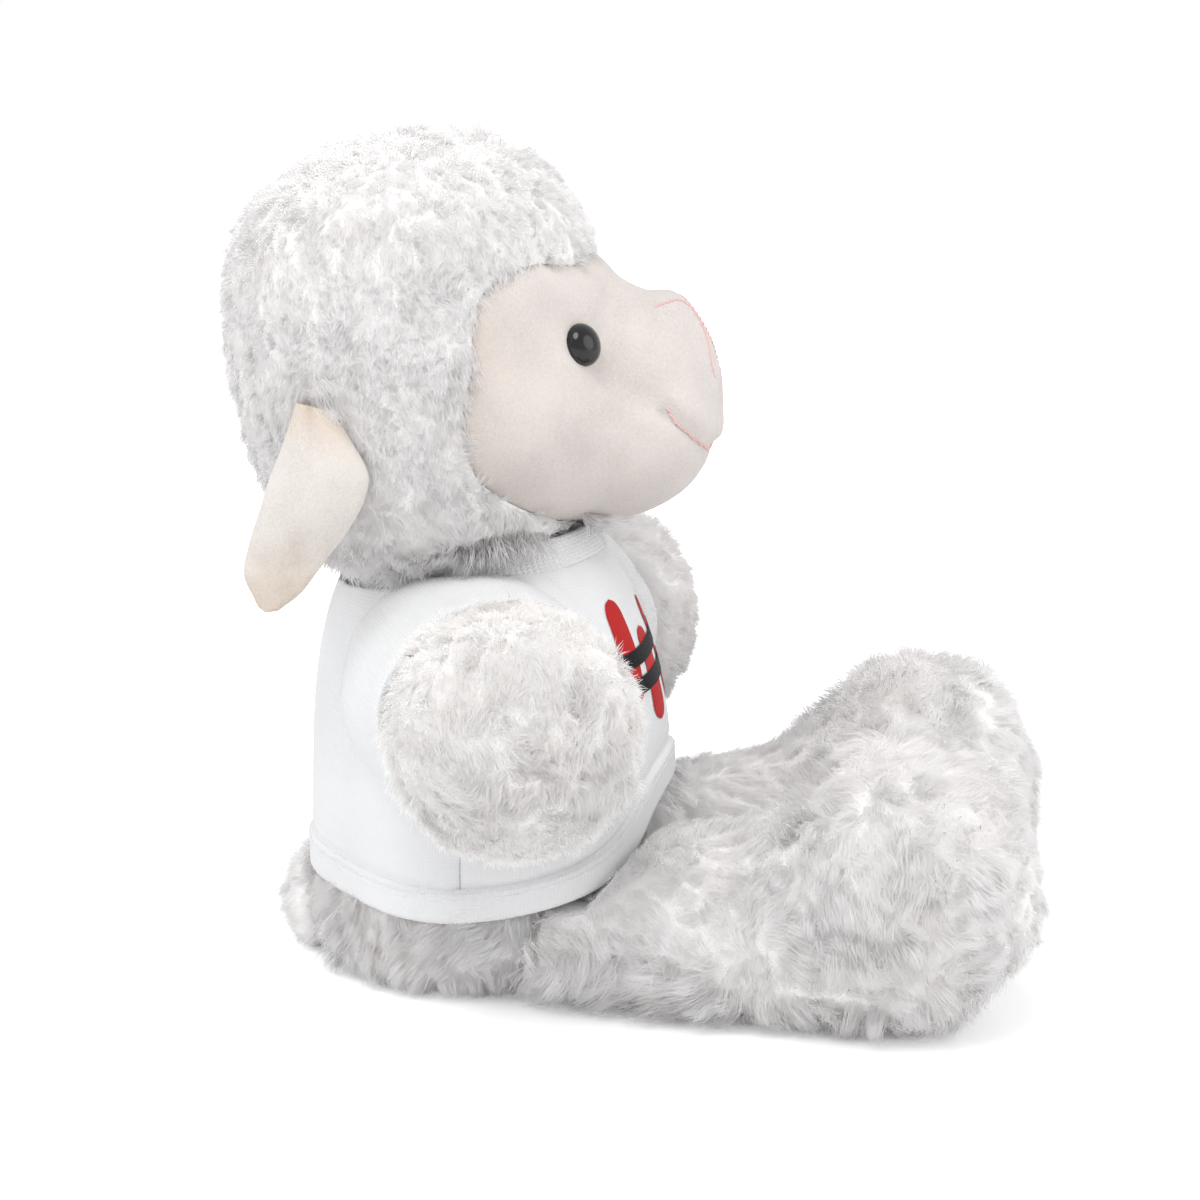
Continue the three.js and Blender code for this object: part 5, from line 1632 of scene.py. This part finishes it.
def panel(name, first, last, replaced):
    columns, rows = 150, 100
    angle = np.linspace(first, last, columns)[None, :]
    share = np.linspace(0, 1, rows)[:, None]
    top, bottom = neck_edge(angle) + 0.3, hem_edge(angle) + HEM_HEIGHT - 1.0
    up = top + (bottom - top) * share
    angle = angle + 0 * up
    from_seam = GIRTH * np.minimum(angle - first, last - angle)
    drawn = -0.3 * np.exp(-((from_seam / 1.6) ** 2)) + 0.12 * np.sin(up * 1.4) * np.exp(-((from_seam / 5) ** 2))
    drawn = drawn - 0.35 * np.exp(-(((up - hem_edge(angle) - HEM_HEIGHT - 0.6) / 0.9) ** 2))
    drawn = drawn + 0.22 * np.cos(24 * angle) * np.exp(-(((up - neck_edge(angle)) / 7) ** 2))
    points = shirt_point(angle, up, EASE + CLOTH + drawn, shirt_fold)
    for side in SIDES.values():
        distance, away = from_arm(side, points)
        dip = 0.5 * np.exp(-(((away - 30.4) / 1.2) ** 2)) * (distance > -5)
        points = points - unit(points - TORSO_MIDDLE * [1, 1, 0] - [0, 0, 1] * points[..., 2:]) * dip[..., None]
    cell = (points[:-1, :-1] + points[1:, 1:]) / 2
    wanted = np.ones(cell.shape[:2], bool)
    for side in SIDES.values():
        distance, away = from_arm(side, cell)
        wanted &= ~((away < 24.5) & (distance > -5))
    grain = np.stack([angle * GIRTH, up], -1)
    obj = facing_away(grid_sheet(name, points, wanted, uv=grain), TORSO_MIDDLE)
    thicken(obj, SHOWN_CLOTH)
    dressed(obj, "torso", replaced, look=JERSEY, slot="jersey")
    return obj


SEAM, SEAM_GAP = math.pi / 2, 0.002
front = panel("shirt_front_cloth", -SEAM, SEAM, "shirt_front")
rear = panel("shirt_back_cloth", SEAM + SEAM_GAP, 3 * SEAM - SEAM_GAP, "shirt_back")


def closed_band(name, profiles, grain):
    """A closed ring of cloth over profiles that run round in a loop."""
    points = np.array(profiles)
    points = np.concatenate([points, points[:1]])
    obj = grid_sheet(name, points, wrap=True, uv=grain)
    merge = obj.modifiers.new("merge", "WELD")
    merge.merge_threshold = 0.00001
    applied(obj)
    return outward(obj)


def band_grain(outline, angle, girth):
    """The cloth's own places on a band, whose outline is rows of distance out and height."""
    spots = np.array([[h for _, h in outline] + [outline[0][1]]]).T + 0 * angle
    return np.stack([angle[None, :] * girth + 0 * spots, spots], -1)


def hem_profiles():
    angle = round_angles(360)
    low = hem_edge(angle)
    outer = EASE + CLOTH * HEM_LAYERS
    outline = [(outer - 0.5, 0.0), (outer - 0.08, 0.35), (outer, 1.2), (outer, 3.0), (outer + 0.05, 5.2)]
    outline += [(outer, 6.8), (outer - 0.25, 7.7), (outer - 0.8, 8.0)]
    outline += [(EASE + 0.5, 8.0), (EASE, 7.4), (EASE, 0.7), (EASE + 0.5, 0.0)]
    profiles = [shirt_point(angle, low + h, g, shirt_fold) for g, h in outline]
    return profiles, band_grain(outline, angle, GIRTH)


hem = closed_band("shirt_hem_band", *hem_profiles())
sharp_edges(hem, 70)
dressed(hem, "torso", "shirt_hem", look=JERSEY, slot="jersey")


def band_profiles():
    angle = round_angles(240)
    inner, outer = NECK_RADIUS + 0.7, NECK_RADIUS + 2.84
    high = BAND_LOW + BAND_HEIGHT
    outline = [(outer + BAND_FLARE, BAND_LOW + 0.3), (outer + BAND_FLARE * 0.8, BAND_LOW + 1.4)]
    outline += [(outer + 0.4, BAND_LOW + 4), (outer, high - 1.0), (outer - 0.3, high - 0.3), (outer - 1.1, high)]
    outline += [(inner + 0.3, high - 0.3), (inner, high - 1.2), (inner, BAND_LOW + 0.8), (inner + 0.6, BAND_LOW)]
    outline += [(outer + BAND_FLARE - 0.5, BAND_LOW)]
    profiles = [neck_point(angle, radius, height) for radius, height in outline]
    return profiles, band_grain(outline, angle, NECK_GIRTH)


neckband = closed_band("shirt_neck_rib", *band_profiles())
sharp_edges(neckband, 70)
dressed(neckband, "torso", "shirt_neckband", look=RIBBED, slot="jersey")


def sleeve(suffix, side):
    """A tube from the armhole seam out along the arm, with a turned hem."""
    columns = 160
    angle = round_angles(columns)
    opening = arm_radius(SLEEVE_LENGTH / ARM_LENGTH) * HAND_RADIUS

    def radius_at(distance):
        narrowed = (opening - ARMHOLE_RADIUS) * np.clip(distance, 0, None) / SLEEVE_LENGTH
        return ARMHOLE_RADIUS + narrowed + EASE + CLOTH

    trial = np.linspace(-14, SLEEVE_LENGTH - 4, 200)
    column_of = trial[:, None] + 0 * angle
    grid = arm_point(side, angle[None, :] + 0 * column_of, column_of, radius_at(trial)[:, None] + 0 * angle)
    inside = in_shirt(grid, -0.4) | in_neckband(grid, 0.5)
    last_inside = len(trial) - 1 - np.argmax(inside[::-1], axis=0)
    start = np.where(inside.any(0), trial[last_inside], -8.0)
    kernel = np.ones(7) / 7
    start = np.convolve(np.concatenate([start[-3:], start, start[:3]]), kernel, "valid")
    rows = np.linspace(0, 1, 26)[:, None]
    distance = start + (SLEEVE_LENGTH - start) * rows
    folds = 0.5 * np.sin(3 * angle + side) * smooth(rows, 0.1, 0.6)
    folds = folds + 0.35 * np.sin(7 * angle) * smooth(rows, 0.3, 1.0)
    hem_lip = 0.45 * smooth(distance, SLEEVE_LENGTH - 6.2, SLEEVE_LENGTH - 5.6)
    seam_dip = -0.8 * smooth(rows, 0.14, 0.0)
    radius = radius_at(distance) + folds + hem_lip + seam_dip
    points = arm_point(side, angle + 0 * rows, distance, radius)
    collar = neck_edge(np.arctan2(points[..., 0], -points[..., 1] + TORSO_SETBACK))
    points[..., 2] = np.minimum(points[..., 2], collar + 0.6 + 0.55 * (distance - start))
    grain = np.stack([angle * SLEEVE_GIRTH + 0 * rows, distance], -1)
    obj = grid_sheet(f"shirt_sleeve_cloth_{suffix}", points, wrap=True, uv=grain)
    facing_away(obj, arm_point(side, 0, SLEEVE_LENGTH / 2, 0))
    thicken(obj, SHOWN_CLOTH)
    obj.data.materials.clear()
    obj.data.materials.append(JERSEY)
    shoulder, along, _ = arm_axes(side)
    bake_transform(obj)
    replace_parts(obj, f"shirt_sleeve_{suffix}")
    return obj


for obj in [sleeve(name, side) for name, side in SIDES.items()]:
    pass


# A generic print on the chest: upright bars under two slanting bands


def on_chest(x, z, out):
    """A point on the shirt's front from flat places across and up, in millimetres."""
    angle = x / GIRTH
    return shirt_point(angle, z + 0 * angle, EASE + CLOTH + out, shirt_fold)


def patch(name, across, up, look, out=0.22):
    """A filled flat outline laid on the chest, from grids of places."""
    obj = facing_away(grid_sheet(name, on_chest(across, up, out)), TORSO_MIDDLE)
    return dressed(obj, "torso", look=look, slot="thread")


BARS = ((-17.6, 66, 90), (-6, 60, 82), (6.5, 62, 87), (19, 58, 82))  # place across, low and high ends
BAR_HALF, BANDS, BAND_HALF, BAND_REACH, BAND_SLANT = 4, (77.5, 71.0), 1.9, 27, 2.2

for k, (x, low, high) in enumerate(BARS):
    s, t = np.meshgrid(np.linspace(-1, 1, 8), np.linspace(0, 1, 40), indexing="ij")
    up = low + (high - low) * t
    past = np.clip(np.abs(up - (low + high) / 2) - (high - low) / 2 + BAR_HALF, 0, BAR_HALF) / BAR_HALF
    half = np.sqrt(np.clip(1 - past**2, 0.0004, 1)) * BAR_HALF
    patch(f"print_bar_{k + 1}", x + s * half, up, RED)
for k, up in enumerate(BANDS):
    s, t = np.meshgrid(np.linspace(-1, 1, 5), np.linspace(-1, 1, 70), indexing="ij")
    height = up + BAND_HALF * s + BAND_SLANT * t
    patch(f"print_band_{k + 1}", BAND_REACH * t, height, BLACK, 0.36)


def seam_chain(angles, heights, out):
    path = shirt_point(angles, heights, out, shirt_fold)
    outer = shirt_point(angles, heights, out + 1, shirt_fold)
    return path, unit(outer - path)


ring = np.linspace(0, 2 * math.pi, 720)
seams = [seam_chain(ring, hem_edge(ring) + h, EASE + CLOTH * HEM_LAYERS) for h in (5.6, 6.9)]
seam_thread = stitches("shirt_stitching", seams, 0.2, 2.3, "torso", WHITE_THREAD, "jersey")

# Hidden pieces of the part keep their solids, with materials of their own

LOOKS = {"fibre": fibre_material(), "bag_cloth": woven_material(), "pellets": pellet_material(), "washer": WASHER}
for part in frame["record"]["subparts"]:
    look = LOOKS.get(part["material_slot"])
    if look:
        shown = frame["nodes"][part["node"]]
        shown.data.materials.clear()
        shown.data.materials.append(look)
